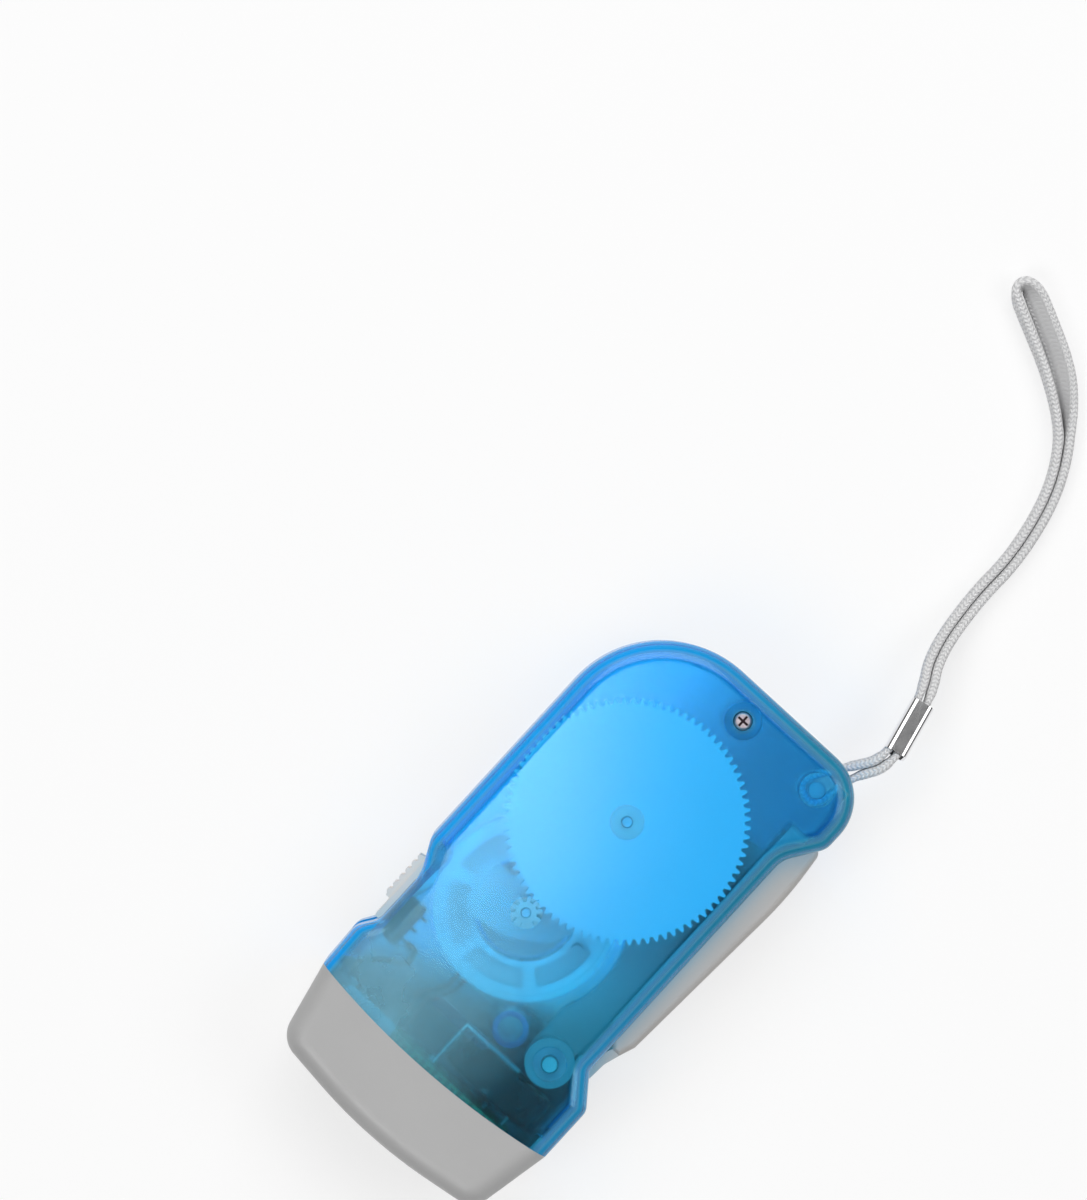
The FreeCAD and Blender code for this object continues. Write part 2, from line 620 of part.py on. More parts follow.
screw = new_body("housing_screw")
add(screw, "head", [circle_at(0, 0, "screw_head_radius")], "screw_seat", "screw_seat + 1.5")
soften(screw, "crown", "Fillet", lambda edge: level(edge, size["screw_seat"] + 1.5), "0.6")
add(screw, "shank", [circle_at(0, 0, "screw_shank_radius")], "screw_seat - screw_length + 1.4", "screw_seat")
tip_low = size["screw_seat"] - size["screw_length"] + 1.4
soften(screw, "tip", "Chamfer", lambda edge: level(edge, tip_low), "0.5")
blade = [box_loop(-1.1, 1.1, -0.22, 0.22), box_loop(-0.22, 0.22, -1.1, 1.1)]
for index, loop in enumerate(blade):
    remove(screw, "cross_%d" % (index + 1), [loop], "screw_seat + 0.6", "screw_seat + 1.5")
put(screw, "-screw_along", "screw_side")


# Lamp hood with its tongues, reflector, lens, lamps and board

hood = new_body("lamp_hood")
nose = [
    (size["hood_lever"], size["hood_lever_side"], size["hood_corner"]),
    bowed((size["hood_lever"], size["hood_lever_side"]), (size["hood_nose"], size["hood_nose_side"]),
          (size["hood_switch"], -size["hood_switch_side"]), size["nose_curve"]),
    (size["hood_switch"], -size["hood_switch_side"], size["hood_corner"]),
]
add(hood, "wall", [rounded(seam_corners() + nose)], "0", "thickness")
soften(hood, "edge_round", "Fillet", broad_edge, "edge_round")


def between(x, start, end):
    """The point of a line at a given x."""
    share = (x - start[0]) / (end[0] - start[0])
    return (x, start[1] + share * (end[1] - start[1]))


seam_start, seam_end = seam_corners()[0], seam_corners()[2]
seat_rear = size["reflector_front"] - size["reflector_plate"] - 1.0
deep = seat_rear + size["hood_wall"]
hood_cavity = [
    (seam_end[0] - 6.0, -size["head_side"], 0),
    (seam_start[0], -size["head_side"], 0),
    between(deep, seam_start, nose[2]) + (3.0,),
    between(deep, seam_end, nose[0]) + (3.0,),
    (seam_end[0], size["bulge_side"], 0),
    (seam_end[0] - 6.0, size["bulge_side"], 0),
]
remove(hood, "cavity", [rounded(hood_cavity, size["hood_wall"])], "hood_wall", "thickness - hood_wall")


def face_loop(margin):
    """Rounded outline of reflector and lens, in the plane across the beam."""
    middle = size["lamp_centre"]
    half = size["reflector_length"] / 2 + margin
    tall = size["reflector_height"] / 2 + margin
    z = size["thickness"] / 2
    return box_loop(middle - half, middle + half, z - tall, z + tall, size["reflector_corner"] + margin)


lens_low = "reflector_front + fit"
lens_high = "reflector_front + fit + lens_thick"
remove(hood, "reflector_seat", [face_loop(size["fit"])], str(seat_rear - 1.0), lens_high, "YZ_Plane")
remove(hood, "front_opening", [face_loop(-size["lens_margin"])],
       "reflector_front", "hood_nose + 1", "YZ_Plane")
tongue_reach = seam_front + 1.5
near_side = -size["head_side"] + size["wall"] + size["fit"]
far_side = size["bulge_side"] - size["wall"] - size["fit"]
near_tongue = box_loop(size["seam_switch"] - size["hood_tongue"], tongue_reach,
                       near_side, near_side + size["tongue_wall"])
far_tongue = box_loop(size["seam_lever"] - size["hood_tongue"], tongue_reach,
                      far_side - size["tongue_wall"], far_side)
add(hood, "side_tongues", [near_tongue, far_tongue], "wall + 3.0", "thickness - wall - 3.0")
broad_tongue = box_loop(size["seam_switch"] + 1.1 - size["hood_tongue"], tongue_reach,
                        -size["tongue_start"], -size["tongue_stop"], 1.0)
upper_top = "thickness - wall + seam_rebate - fit"
lower_top = "wall - seam_rebate + fit + tongue_wall"
add(hood, "upper_tongue", [broad_tongue], upper_top + " - tongue_wall", upper_top)
add(hood, "lower_tongue", [broad_tongue], lower_top + " - tongue_wall", lower_top)

lens = new_body("front_lens")
add(lens, "plate", [face_loop(0.0)], lens_low, lens_high, "YZ_Plane")

lamp_sides = [size["lamp_centre"] + step * size["lamp_pitch"] for step in (-1, 0, 1)]
board_front = size["board_rear"] + size["board_thick"]
cup_rear = board_front + 1.2


def turned(body, kind, name, profile, side):
    """Revolve a profile (x, radius) round a line along the beam through one lamp."""
    item = body.newObject("Sketcher::SketchObject", name + "_outline")
    item.AttachmentSupport = [(origin_item(body, "XY_Plane"), "")]
    item.MapMode = "FlatFace"
    item.AttachmentOffset = FreeCAD.Placement(Vector(0, side, size["thickness"] / 2), FreeCAD.Rotation())
    item.addGeometry(profile, False)
    feature = body.newObject("PartDesign::" + kind, name)
    feature.Profile = item
    feature.ReferenceAxis = (item, ["H_Axis"])
    feature.Angle = 360.0
    document.recompute()
    return feature


def cup_profile(skin, rear, front):
    """Half section of a reflector cup, a hollow that widens along a curve."""
    start = Vector(rear, size["cup_rear"] + skin, 0)
    end = Vector(front, size["cup_front"] + skin, 0)
    middle = Vector(rear + (front - rear) * 0.4, size["cup_rear"] + skin
                    + (size["cup_front"] - size["cup_rear"]) * 0.55, 0)
    foot, head = Vector(rear, 0, 0), Vector(front, 0, 0)
    bend = Part.Arc(start, middle, end).toShape().Curve
    return [Part.LineSegment(foot, start), arc_about(bend.Center, bend.Radius, end, start),
            Part.LineSegment(end, head), Part.LineSegment(head, foot)]


reflector = new_body("reflector")
add(reflector, "plate", [face_loop(-size["fit"])],
    "reflector_front - reflector_plate", "reflector_front", "YZ_Plane")
for index, side in enumerate(lamp_sides):
    skin = cup_profile(size["cup_skin"], cup_rear, size["reflector_front"] - 0.3)
    turned(reflector, "Revolution", "cup_%d" % (index + 1), skin, side)
for index, side in enumerate(lamp_sides):
    hollow = cup_profile(0.0, cup_rear - 0.01, size["reflector_front"] + 0.01)
    turned(reflector, "Groove", "hollow_%d" % (index + 1), hollow, side)
post_aside = size["lamp_pitch"] / 2
board_posts = [circle_at(size["lamp_centre"] + side * post_aside, size["thickness"] / 2 + side * 7.5, "1.1")
               for side in (-1, 1)]
add(reflector, "board_posts", board_posts, "board_rear + board_thick", "reflector_front - 0.3", "YZ_Plane")

board = new_body("led_board")
middle = size["lamp_centre"]
tall = size["board_height"] / 2
board_loop = box_loop(middle - size["board_length"] / 2, middle + size["board_length"] / 2,
                      size["thickness"] / 2 - tall, size["thickness"] / 2 + tall, 1.5)
add(board, "sheet", [board_loop], "board_rear", "board_rear + board_thick", "YZ_Plane")
lead_spots = [(side, size["thickness"] / 2 + step) for side in lamp_sides for step in (-1.27, 1.27)]
remove(board, "lead_holes", [circle_at(y, z, "0.35") for y, z in lead_spots],
       "board_rear", "board_rear + board_thick", "YZ_Plane")

leads = new_body("led_leads")
leads.AllowCompound = True
add(leads, "wires", [circle_at(y, z, "0.3") for y, z in lead_spots],
    "board_rear - 0.9", "board_rear + board_thick + 0.5", "YZ_Plane")


lamps = new_body("lamp_leds")
lamps.AllowCompound = True
lamp_base = board_front + 0.5
for index, side in enumerate(lamp_sides):
    radius = size["lamp_radius"]
    shoulder = lamp_base + size["lamp_length"] - radius
    outline = [(lamp_base, 0), (lamp_base, radius + 0.3), (lamp_base + 1.0, radius + 0.3),
               (lamp_base + 1.0, radius), (shoulder, radius)]
    points = [Vector(x, y, 0) for x, y in outline]
    tip = Vector(shoulder + radius, 0, 0)
    edges = [Part.LineSegment(points[i], points[i + 1]) for i in range(4)]
    edges.append(arc_about(Vector(shoulder, 0, 0), radius, tip, points[4]))
    edges.append(Part.LineSegment(tip, points[0]))
    turned(lamps, "Revolution", "lamp_%d" % (index + 1), edges, side)


# Diodes behind the board, cells with their tabs

diodes = new_body("rectifier_diodes")
diodes.AllowCompound = True
diode_side = 10.5
diode_x = size["board_rear"] - 1.1
diode_heights = [size["seam_height"] + 3.8 * step for step in (-2, -1, 1, 2)]
add(diodes, "bodies", [circle_at(diode_x, z, "0.9") for z in diode_heights],
    str(diode_side - 1.8), str(diode_side + 1.8), "XZ_Plane")
add(diodes, "legs", [circle_at(diode_x, z, "0.3") for z in diode_heights],
    str(diode_side - 2.8), str(diode_side + 2.8), "XZ_Plane")
diode_feet = [(-diode_side + side, z) for z in diode_heights for side in (-2.5, 2.5)]
add(diodes, "feet", [circle_at(y, z, "0.24") for y, z in diode_feet],
    "board_rear - 1.1", "board_rear", "YZ_Plane")

cells = new_body("storage_cells")
cell_spot = (size["cell_side"], size["seam_height"])
add(cells, "sleeve", [circle_at(*cell_spot, "cell_radius")],
    "cell_front - cell_stack", "cell_front", "YZ_Plane")
soften(cells, "sleeve_edges", "Fillet", lambda edge: edge.BoundBox.XLength < 1e-4, "0.8")

tabs = new_body("cell_tabs")
tabs.AllowCompound = True
tab_thick = 0.3
cell_rear = size["cell_front"] - size["cell_stack"]
cell_near = size["cell_side"] - size["cell_radius"] - 0.2
rear_tab_end = size["cell_side"] + 2.0
rear_tab = [
    (cell_rear - tab_thick, cell_near - tab_thick), (size["board_rear"], cell_near - tab_thick),
    (size["board_rear"], cell_near), (cell_rear, cell_near),
    (cell_rear, rear_tab_end), (cell_rear - tab_thick, rear_tab_end),
]
front_tab_start = size["cell_side"] - 2.0
front_tab_end = size["cell_side"] + 6.0
front_tab = [
    (size["cell_front"], front_tab_start), (size["cell_front"] + tab_thick, front_tab_start),
    (size["cell_front"] + tab_thick, front_tab_end - tab_thick),
    (size["board_rear"], front_tab_end - tab_thick),
    (size["board_rear"], front_tab_end), (size["cell_front"], front_tab_end),
]
tab_loops = [closed([Vector(x, y, 0) for x, y in loop]) for loop in (rear_tab, front_tab)]
add(tabs, "strips", tab_loops, "seam_height - 1.5", "seam_height + 1.5")


# Thumb slide and slide switch

slider = new_body("switch_slider")
plate_top = scallop_floor - size["running"]
plate_loop = box_loop(size["slide_rear"], size["slide_rear"] + size["slide_plate_length"],
                      plate_top - size["slide_plate"], plate_top, 0.4)
add(slider, "plate", [plate_loop], "seam_height - slide_width / 2", "seam_height + slide_width / 2")
rib_pitch = size["slide_pad_length"] / size["slide_ribs"]
rib_top = plate_top - size["slide_plate"] - size["slide_pad"]
pad_foot = plate_top - size["slide_plate"] + 0.2
pad_outline = [Vector(size["slide_rear"], pad_foot, 0)]
for index in range(int(size["slide_ribs"])):
    start = size["slide_rear"] + index * rib_pitch
    pad_outline += [
        Vector(start + 0.2 * rib_pitch, rib_top, 0), Vector(start + 0.6 * rib_pitch, rib_top, 0),
        Vector(start + 0.8 * rib_pitch, rib_top + 0.4, 0), Vector(start + rib_pitch, rib_top + 0.4, 0),
    ]
pad_outline.append(Vector(size["slide_rear"] + size["slide_pad_length"], pad_foot, 0))
add(slider, "ribbed_pad", [closed(pad_outline)], "seam_height - slide_width / 2 + 0.4",
    "seam_height + slide_width / 2 - 0.4")
stem_front = size["stem_rear"] + size["stem_length"]
stem_loop = box_loop(size["stem_rear"], stem_front, plate_top - 0.5, plate_top + size["stem_depth"])
add(slider, "stem", [stem_loop], "seam_height - stem_width / 2", "seam_height + stem_width / 2")

switch = new_body("switch_body")
switch_near = scallop_floor + size["wall"] + size["fit"]
switch_rear = size["stem_rear"] - 0.6
switch_loop = box_loop(switch_rear, switch_rear + size["switch_length"],
                       switch_near, switch_near + size["switch_depth"], 0.3)
add(switch, "case", [switch_loop], "seam_height - switch_width / 2", "seam_height + switch_width / 2")
switch_slot = box_loop(size["stem_rear"] - 0.2, stem_front + size["slide_travel"] + 0.2,
                       switch_near, plate_top + size["stem_depth"] + 0.2)
remove(switch, "slot", [switch_slot],
       "seam_height - stem_width / 2 - 0.2", "seam_height + stem_width / 2 + 0.2")
switch_legs = [(switch_rear + 1.8 + 2.5 * index, size["seam_height"]) for index in range(3)]
leg_high = -(switch_near + size["switch_depth"] - 0.2)
add(switch, "legs", [circle_at(x, z, "0.3") for x, z in switch_legs],
    str(leg_high - 1.4), str(leg_high), "XZ_Plane")


# Generator: can and top plate with interleaved claws, bobbin with its winding, bridge, rotor

def sector(inner, outer, middle_degrees, width_degrees):
    """A piece of a flat ring round the body's own axis."""
    first = middle_degrees - width_degrees / 2
    last = middle_degrees + width_degrees / 2
    centre = Vector(0, 0, 0)
    a, b = polar(inner, first), polar(outer, first)
    c, d = polar(outer, last), polar(inner, last)
    return [Part.LineSegment(a, b), arc_about(centre, outer, b, c),
            Part.LineSegment(c, d), arc_about(centre, inner, a, d)]


claw_pitch = 360.0 / size["claws"]
claw_outer = size["claw_radius"] + size["claw_sheet"]
can_claw = sector(size["claw_radius"], claw_outer, 15.0, size["claw_angle"])
plate_claw = sector(size["claw_radius"], claw_outer, 15.0 + claw_pitch / 2, size["claw_angle"])
can_high = "can_low + can_height"

can = new_body("stator_can")
can_rim = [circle_at(0, 0, "can_radius"), circle_at(0, 0, "can_radius - can_sheet")]
add(can, "floor", [circle_at(0, 0, "can_radius"), circle_at(0, 0, "claw_radius")],
    "can_low", "can_low + can_sheet")
add(can, "wall", can_rim, "can_low + can_sheet", can_high)
claw = add(can, "claw", [can_claw], "can_low", can_high + " - can_sheet - 0.4")
ring(can, "claw_ring", claw, "claws")
lead_notch = box_loop(size["can_radius"] - 3.0, size["can_radius"] + 1.0, -1.7, 1.7)
remove(can, "lead_notch", [lead_notch], "can_low + can_sheet + 0.6", "can_low + can_sheet + 2.4")
put(can, rotor_x, rotor_y)

top_plate = new_body("stator_top_plate")
plate_rings = [circle_at(0, 0, "can_radius - can_sheet - running"), circle_at(0, 0, "can_window"),
               circle_at(0, 0, "bobbin_inner"), circle_at(0, 0, "claw_radius")]
add(top_plate, "rings", plate_rings, can_high + " - can_sheet", can_high)
spoke = sector(size["bobbin_inner"] - 0.2, size["can_window"] + 0.2, 15.0 + claw_pitch / 2, 11.0)
spoke = add(top_plate, "spoke", [spoke], can_high + " - can_sheet", can_high)
ring(top_plate, "spoke_ring", spoke, "claws")
claw = add(top_plate, "claw", [plate_claw], "can_low + 1.4", can_high)
ring(top_plate, "claw_ring", claw, "claws")
put(top_plate, rotor_x, rotor_y)

bobbin = new_body("coil_bobbin")
bobbin_low = "can_low + can_sheet + 0.1"
bobbin_high = can_high + " - can_sheet - 0.1"
flange = [circle_at(0, 0, "bobbin_radius"), circle_at(0, 0, "bobbin_inner")]
tube = [circle_at(0, 0, "bobbin_inner + bobbin_tube"), circle_at(0, 0, "bobbin_inner")]
add(bobbin, "lower_flange", flange, bobbin_low, bobbin_low + " + bobbin_tube")
add(bobbin, "tube", tube, bobbin_low + " + bobbin_tube", bobbin_high + " - bobbin_tube")
add(bobbin, "upper_flange", flange, bobbin_high + " - bobbin_tube", bobbin_high)
post_spot = polar(size["bobbin_inner"] + 1.15, 93.7)
add(bobbin, "terminal_post", [circle_at(post_spot.x, post_spot.y, "1.0")],
    bobbin_high + " - 0.3", can_high + " + 3.0")
put(bobbin, rotor_x, rotor_y)

coil = new_body("stator_coil")
winding = [circle_at(0, 0, "coil_radius"), circle_at(0, 0, "bobbin_inner + bobbin_tube + 0.02")]
add(coil, "winding", winding, bobbin_low + " + bobbin_tube + 0.02", bobbin_high + " - bobbin_tube - 0.02")
put(coil, rotor_x, rotor_y)

bridge = new_body("bearing_bridge")
bridge_corners = [
    (31.2, -11.6, 3.0), (20.6, -11.6, 1.0), (20.6, -7.6, 1.0), (8.0, -7.6, 2.0), (8.0, 6.6, 2.5),
    (19.4, 7.2, 3.0), (25.2, 4.6, 3.0), (29.2, -1.6, 4.0),
]
bridge_loop = rounded([(x - rotor_at.x, y - rotor_at.y, radius) for x, y, radius in bridge_corners])
add(bridge, "plate", [bridge_loop], "bridge_low", "bridge_low + bridge_thick")
foot_spots = [polar(9.75, -53.0), polar(14.9, 151.0), polar(14.9, 195.0)]
add(bridge, "feet", [circle_at(spot.x, spot.y, "0.9") for spot in foot_spots], can_high, "bridge_low")
remove(bridge, "bearing", [circle_at(0, 0, "rotor_hub_radius + running")],
       "bridge_low", "bridge_low + bridge_thick")
put(bridge, rotor_x, rotor_y)


def involute(angle):
    return math.tan(angle) - angle


def tooth_flank(teeth, module, inner, outer, steps):
    """Radii and half angles (radius, radians) of an external tooth from root to tip."""
    pitch = teeth * module / 2
    base = pitch * math.cos(math.radians(20))
    half = math.pi / (2 * teeth) - 0.05 / pitch
    flank = []
    for index in range(steps + 1):
        radius = inner + (outer - inner) * index / steps
        roll = math.acos(min(1.0, base / radius))
        flank.append((radius, half + involute(math.radians(20)) - involute(roll)))
    return flank


def gear_outline(teeth, module, steps, first_degrees=0.0):
    """Closed outline of a spur gear, with a tooth that points at first_degrees."""
    pitch = teeth * module / 2
    flank = tooth_flank(teeth, module, pitch - 1.2 * module, pitch + 0.9 * module, steps)
    points = []
    for index in range(teeth):
        middle = math.radians(first_degrees) + index * 2 * math.pi / teeth
        sides = [(radius, middle - half) for radius, half in flank]
        sides += [(radius, middle + half) for radius, half in reversed(flank)]
        points += [Vector(radius * math.cos(angle), radius * math.sin(angle), 0) for radius, angle in sides]
    return closed(points)


fine_teeth = int(size["gear_teeth"])
rotor_teeth = int(size["rotor_teeth"])
coarse_teeth = int(size["pinion_teeth"])

rotor_hub = new_body("rotor_hub")
rotor_bore = circle_at(0, 0, "rotor_axle_radius + running")
add(rotor_hub, "hub", [circle_at(0, 0, "rotor_hub_radius"), rotor_bore],
    "can_low + 0.2", "bridge_low + bridge_thick + 1.0")
rotor_first = size["rotor_bearing"] + 180.0
pinion_loop = gear_outline(rotor_teeth, size["fine_module"], 3, rotor_first)
add(rotor_hub, "pinion", [pinion_loop, rotor_bore],
    "bridge_low + bridge_thick + 1.0", "thickness - wall - 1.8")
put(rotor_hub, rotor_x, rotor_y)

magnet = new_body("rotor_magnet")
magnet_ring = [circle_at(0, 0, "magnet_radius"), circle_at(0, 0, "rotor_hub_radius + 0.02")]
add(magnet, "ring", magnet_ring, "magnet_low", "magnet_low + magnet_height")
put(magnet, rotor_x, rotor_y)


# Gear train on the gear axle

gear = new_body("large_gear")
gear_bore = circle_at(0, 0, "gear_axle_radius + running")
gear_first = size["rotor_bearing"] + 180.0 / fine_teeth
gear_loop = gear_outline(fine_teeth, size["fine_module"], 2, gear_first)
add(gear, "rim", [gear_loop, gear_bore], "gear_low", "gear_low + gear_thick")
add(gear, "hub", [circle_at(0, 0, "2.4"), gear_bore], "gear_low - 0.3", "gear_low")
cup = [circle_at(0, 0, "cup_radius"), circle_at(0, 0, "cup_radius - cup_wall")]
add(gear, "ratchet_cup", cup, "cup_low", "gear_low")

washer = new_body("gear_washer")
add(washer, "disc", [circle_at(0, 0, "boss_radius - 0.3"), gear_bore],
    "gear_low + gear_thick + running", "gear_low + gear_thick + 0.9 - running")

pinion = new_body("drive_pinion")
pinion_first = size["pivot_bearing"] + 180.0
drive_loop = gear_outline(coarse_teeth, size["coarse_module"], 3, pinion_first)
add(pinion, "teeth", [drive_loop, gear_bore], "pinion_low", "ratchet_low")
saw_points = []
saw_pitch = 360.0 / size["ratchet_teeth"]
for index in range(int(size["ratchet_teeth"])):
    saw_points += [polar(size[edge], index * saw_pitch) for edge in ("ratchet_radius", "ratchet_root")]
ratchet_high = "gear_low - 0.4"
add(pinion, "ratchet_wheel", [closed(saw_points), gear_bore], "ratchet_low", ratchet_high)

pawls = new_body("ratchet_pawls")
pawls.AllowCompound = True
cup_inside = size["cup_radius"] - size["cup_wall"] - 0.02


def pawl_loop(turn):
    """A springy arm from the cup's wall to the radial face of a ratchet tooth."""
    inner = [(size["ratchet_root"] + 0.3, 1.4), (size["ratchet_radius"] + 0.5, 45.0), (cup_inside, 78.0)]
    outer = [(cup_inside, 62.0), (size["ratchet_radius"] + 1.3, 42.0), (size["ratchet_radius"], 1.2)]
    return closed([polar(radius, angle + turn) for radius, angle in inner + outer])


add(pawls, "arms", [pawl_loop(0.0), pawl_loop(180.0)], "cup_low + 0.3", "gear_low - 0.6")


# Squeeze lever, drawn round its own pivot

def local(points):
    """World corners moved to the pivot's axes."""
    return [(x - pivot_at.x, y - pivot_at.y, radius) for x, y, radius in points]


def rack_polar(radius, degrees):
    """A point round the pivot. The angle runs from the tail side towards the switch edge."""
    return polar(radius, 180.0 + degrees)


rack_pitch = size["coarse_module"] * size["rack_teeth"] / 2
rack_root = rack_pitch + 1.25 * size["coarse_module"]
rack_tip = rack_pitch - size["coarse_module"]
rack_back = rack_root + size["rack_band"]
rack_step = 360.0 / size["rack_teeth"]
teeth_used = math.ceil((size["lever_travel"] + 5.5) / rack_step)
rack_start = 8.0
rack_end = size["pivot_bearing"] + (teeth_used - 1.0) * rack_step

lever = new_body("squeeze_lever")
crown = size["grip_crown"]
grip_near = crown - size["grip_depth"]
grip_outer = [
    (size["grip_front"] + 1.5, crown - 3.1, 0), (size["grip_front"] - 1.5, crown - 2.0, 0),
    (-9.0, crown, 70.0), (-size["grip_tail"], crown - 1.1, 2.0),
    (-size["grip_tail"], grip_near, 0), (size["grip_front"] - 1.5, grip_near, 0),
    (size["grip_front"] + 1.5, crown - 4.7, 0),
]
grip_low = "seam_height - grip_width / 2"
grip_high = "seam_height + grip_width / 2"
add(lever, "grip", [rounded(local(grip_outer))], grip_low, grip_high)


def grip_crest(edge):
    """True for the grip's outer edges, along the crown and down the tail."""
    middle = edge.valueAt((edge.FirstParameter + edge.LastParameter) / 2)
    high = middle.z + 1e-4 > size["seam_height"] + size["grip_width"] / 2
    low = middle.z - 1e-4 < size["seam_height"] - size["grip_width"] / 2
    return (high or low) and edge.BoundBox.ZLength < 1e-4 and middle.y > grip_near + 0.1 - pivot_at.y


soften(lever, "grip_edges", "Fillet", grip_crest, "1.2")
skin = size["grip_wall"]
hollow_near = crown - 12.7
grip_inner = [
    (size["grip_front"] - 0.2, hollow_near, 0), (size["grip_front"] - 0.2, crown - 3.7, 0),
    (-9.0, crown - skin, 70.0), (-size["grip_tail"] + skin, crown - 1.1 - skin, 1.0),
    (-size["grip_tail"] + skin, hollow_near, 0),
]
remove(lever, "hollow", [rounded(local(grip_inner))], grip_low + " + grip_wall", grip_high + " - grip_wall")
web_corners = [
    (40.0, 14.1, 0), (31.0, 14.1, 3.0), (4.6, 6.3, 4.0), (-5.8, 3.2, 0), (-9.1, 4.4, 0), (-11.2, 11.0, 0),
    (-13.0, crown - 1.2, 0), (size["grip_front"] - 1.5, crown - 2.9, 0), (33.8, 24.8, 0),
    (38.0, 24.0, 0), (39.5, 22.4, 0),
]
add(lever, "web", [rounded(local(web_corners))], "web_low", "web_low + web_thick")
relief = [
    circle_at(rotor_at.x - pivot_at.x, rotor_at.y - pivot_at.y, "web_relief"),
    circle_at(-pivot_at.x, -pivot_at.y, "coarse_module * (pinion_teeth / 2 + 1) + 0.7"),
]
for name, loop in (("generator_relief", relief[0]), ("pinion_relief", relief[1])):
    remove(lever, name, [loop], "web_low", "web_low + web_thick")
centre = Vector(0, 0, 0)
band = [
    arc_about(centre, rack_root, rack_polar(rack_root, rack_start), rack_polar(rack_root, rack_end)),
    Part.LineSegment(rack_polar(rack_root, rack_end), rack_polar(rack_back, rack_end)),
    arc_about(centre, rack_back, rack_polar(rack_back, rack_start), rack_polar(rack_back, rack_end)),
    Part.LineSegment(rack_polar(rack_back, rack_start), rack_polar(rack_root, rack_start)),
]
add(lever, "rack_band", [band], "web_low", "web_low + web_thick")
rack_loops = []
for index in range(teeth_used):
    middle = size["pivot_bearing"] + (index - 0.5) * rack_step
    thick = rack_step / 4 - math.degrees(0.05 / rack_pitch)
    taper = math.degrees(math.tan(math.radians(20)) * size["coarse_module"] / rack_pitch)
    loop = [(rack_root + 0.3, thick + 1.6 * taper), (rack_root, thick + 1.25 * taper),
            (rack_tip, thick - taper)]
    flank = [rack_polar(radius, middle - half) for radius, half in loop]
    other_flank = [rack_polar(radius, middle + half) for radius, half in reversed(loop)]
    rack_loops.append(closed(flank + other_flank))
add(lever, "rack_teeth", rack_loops, "web_low", "web_low + web_thick")
neck = [
    (38.6, 22.2, 0), (38.3, 25.4, 1.0), (33.8, 25.7, 3.0), (31.0, 26.6, 0), (28.0, 27.7, 0), (28.0, 25.9, 0),
    (31.0, 24.9, 2.0), (33.5, 23.9, 2.0), (35.8, 21.4, 0),
]
add(lever, "neck", [rounded(local(neck))], grip_low + " + 0.7", grip_high + " - 0.7")
add(lever, "hub", [circle_at(0, 0, "hub_radius")], "pinion_low - 0.3", "thickness - wall - 3.5")
add(lever, "hub_neck", [circle_at(0, 0, "hub_neck_radius")], "wall + 3.5", "pinion_low - 0.3")
rib_loops = []
for index in range(int(size["grip_ribs"])):
    rib_x = -13.0 + 12.0 * index
    rib = [(rib_x, grip_near + 0.6, 0), (rib_x + 1.2, grip_near + 0.6, 0),
           (rib_x + 1.2, crown - 2.0, 0), (rib_x, crown - 2.0, 0)]
    rib_loops.append(rounded(local(rib)))
add(lever, "grip_ribs", rib_loops, grip_low + " + 0.8", grip_high + " - 0.8")
nub_x = 31.0
nub_side = size["spring_wire"] / 2 + size["running"] + 1.0 - size["spring_radius"]
add(lever, "spring_nub", [circle_at(nub_x - pivot_at.x, nub_side, "1.0")], "web_low - 2.4", "web_low")
remove(lever, "bore", [circle_at(0, 0, "pivot_pin_radius + running")],
       "wall + 3.5", "thickness - wall - 3.5")
put(lever, pivot_x, pivot_y)


# Wires, spring and strap: sweeps along straight runs joined by arcs

def tangent_arc(start, tangent, end):
    """The arc that leaves start along tangent and ends at end."""
    chord = end - start
    along = unit(chord)
    lift = tangent - along * tangent.dot(along)
    half = math.atan2(lift.Length, tangent.dot(along))
    middle = start + chord / 2 + unit(lift) * (chord.Length / 2 * math.tan(half / 2))
    return Part.Arc(start, middle, end).toShape()


def run_path(corners):
    """Straight runs through corners (point, radius). A radius of None is as large as the runs allow."""
    points = [corner[0] for corner in corners]
    edges = []
    radii = []
    last = points[0]
    for i in range(1, len(points) - 1):
        before = unit(points[i] - points[i - 1])
        after = unit(points[i + 1] - points[i])
        turn = before.getAngle(after)
        shorter = min((points[i] - points[i - 1]).Length, (points[i + 1] - points[i]).Length)
        reach = 0.45 * shorter if corners[i][1] is None else corners[i][1] * math.tan(turn / 2)
        entry = points[i] - before * reach
        leave = points[i] + after * reach
        if (entry - last).Length > 1e-4:
            edges.append(Part.LineSegment(last, entry).toShape())
        edges.append(tangent_arc(entry, before, leave))
        radii.append(reach / math.tan(turn / 2))
        last = leave
    edges.append(Part.LineSegment(last, points[-1]).toShape())
    return Part.Wire(edges), radii


def sweep(path, section, upright=False):
    """One solid along a path. An upright section keeps its own axis vertical."""
    maker = Part.BRepOffsetAPI.MakePipeShell(path)
    if upright:
        maker.setBiNormalMode(Vector(0, 0, 1))
    maker.add(section, False, False)
    maker.build()
    maker.makeSolid()
    solid = maker.shape()
    return solid if solid.Volume > 0 else solid.reversed()


def round_section(path, radius):
    first = path.Edges[0]
    start = first.FirstParameter
    return Part.Wire(Part.Circle(first.valueAt(start), first.tangentAt(start), radius).toShape())


def piece(label, solids):
    """A named piece from finished solids."""
    item = document.addObject("Part::Feature", label)
    item.Label = label
    item.Shape = solids[0] if len(solids) == 1 else Part.makeCompound(solids)
    return item


def wire(points, radius, bend):
    """An insulated wire with bends of one radius."""
    path, radii = run_path([(Vector(*point), bend) for point in points])
    return sweep(path, round_section(path, radius))


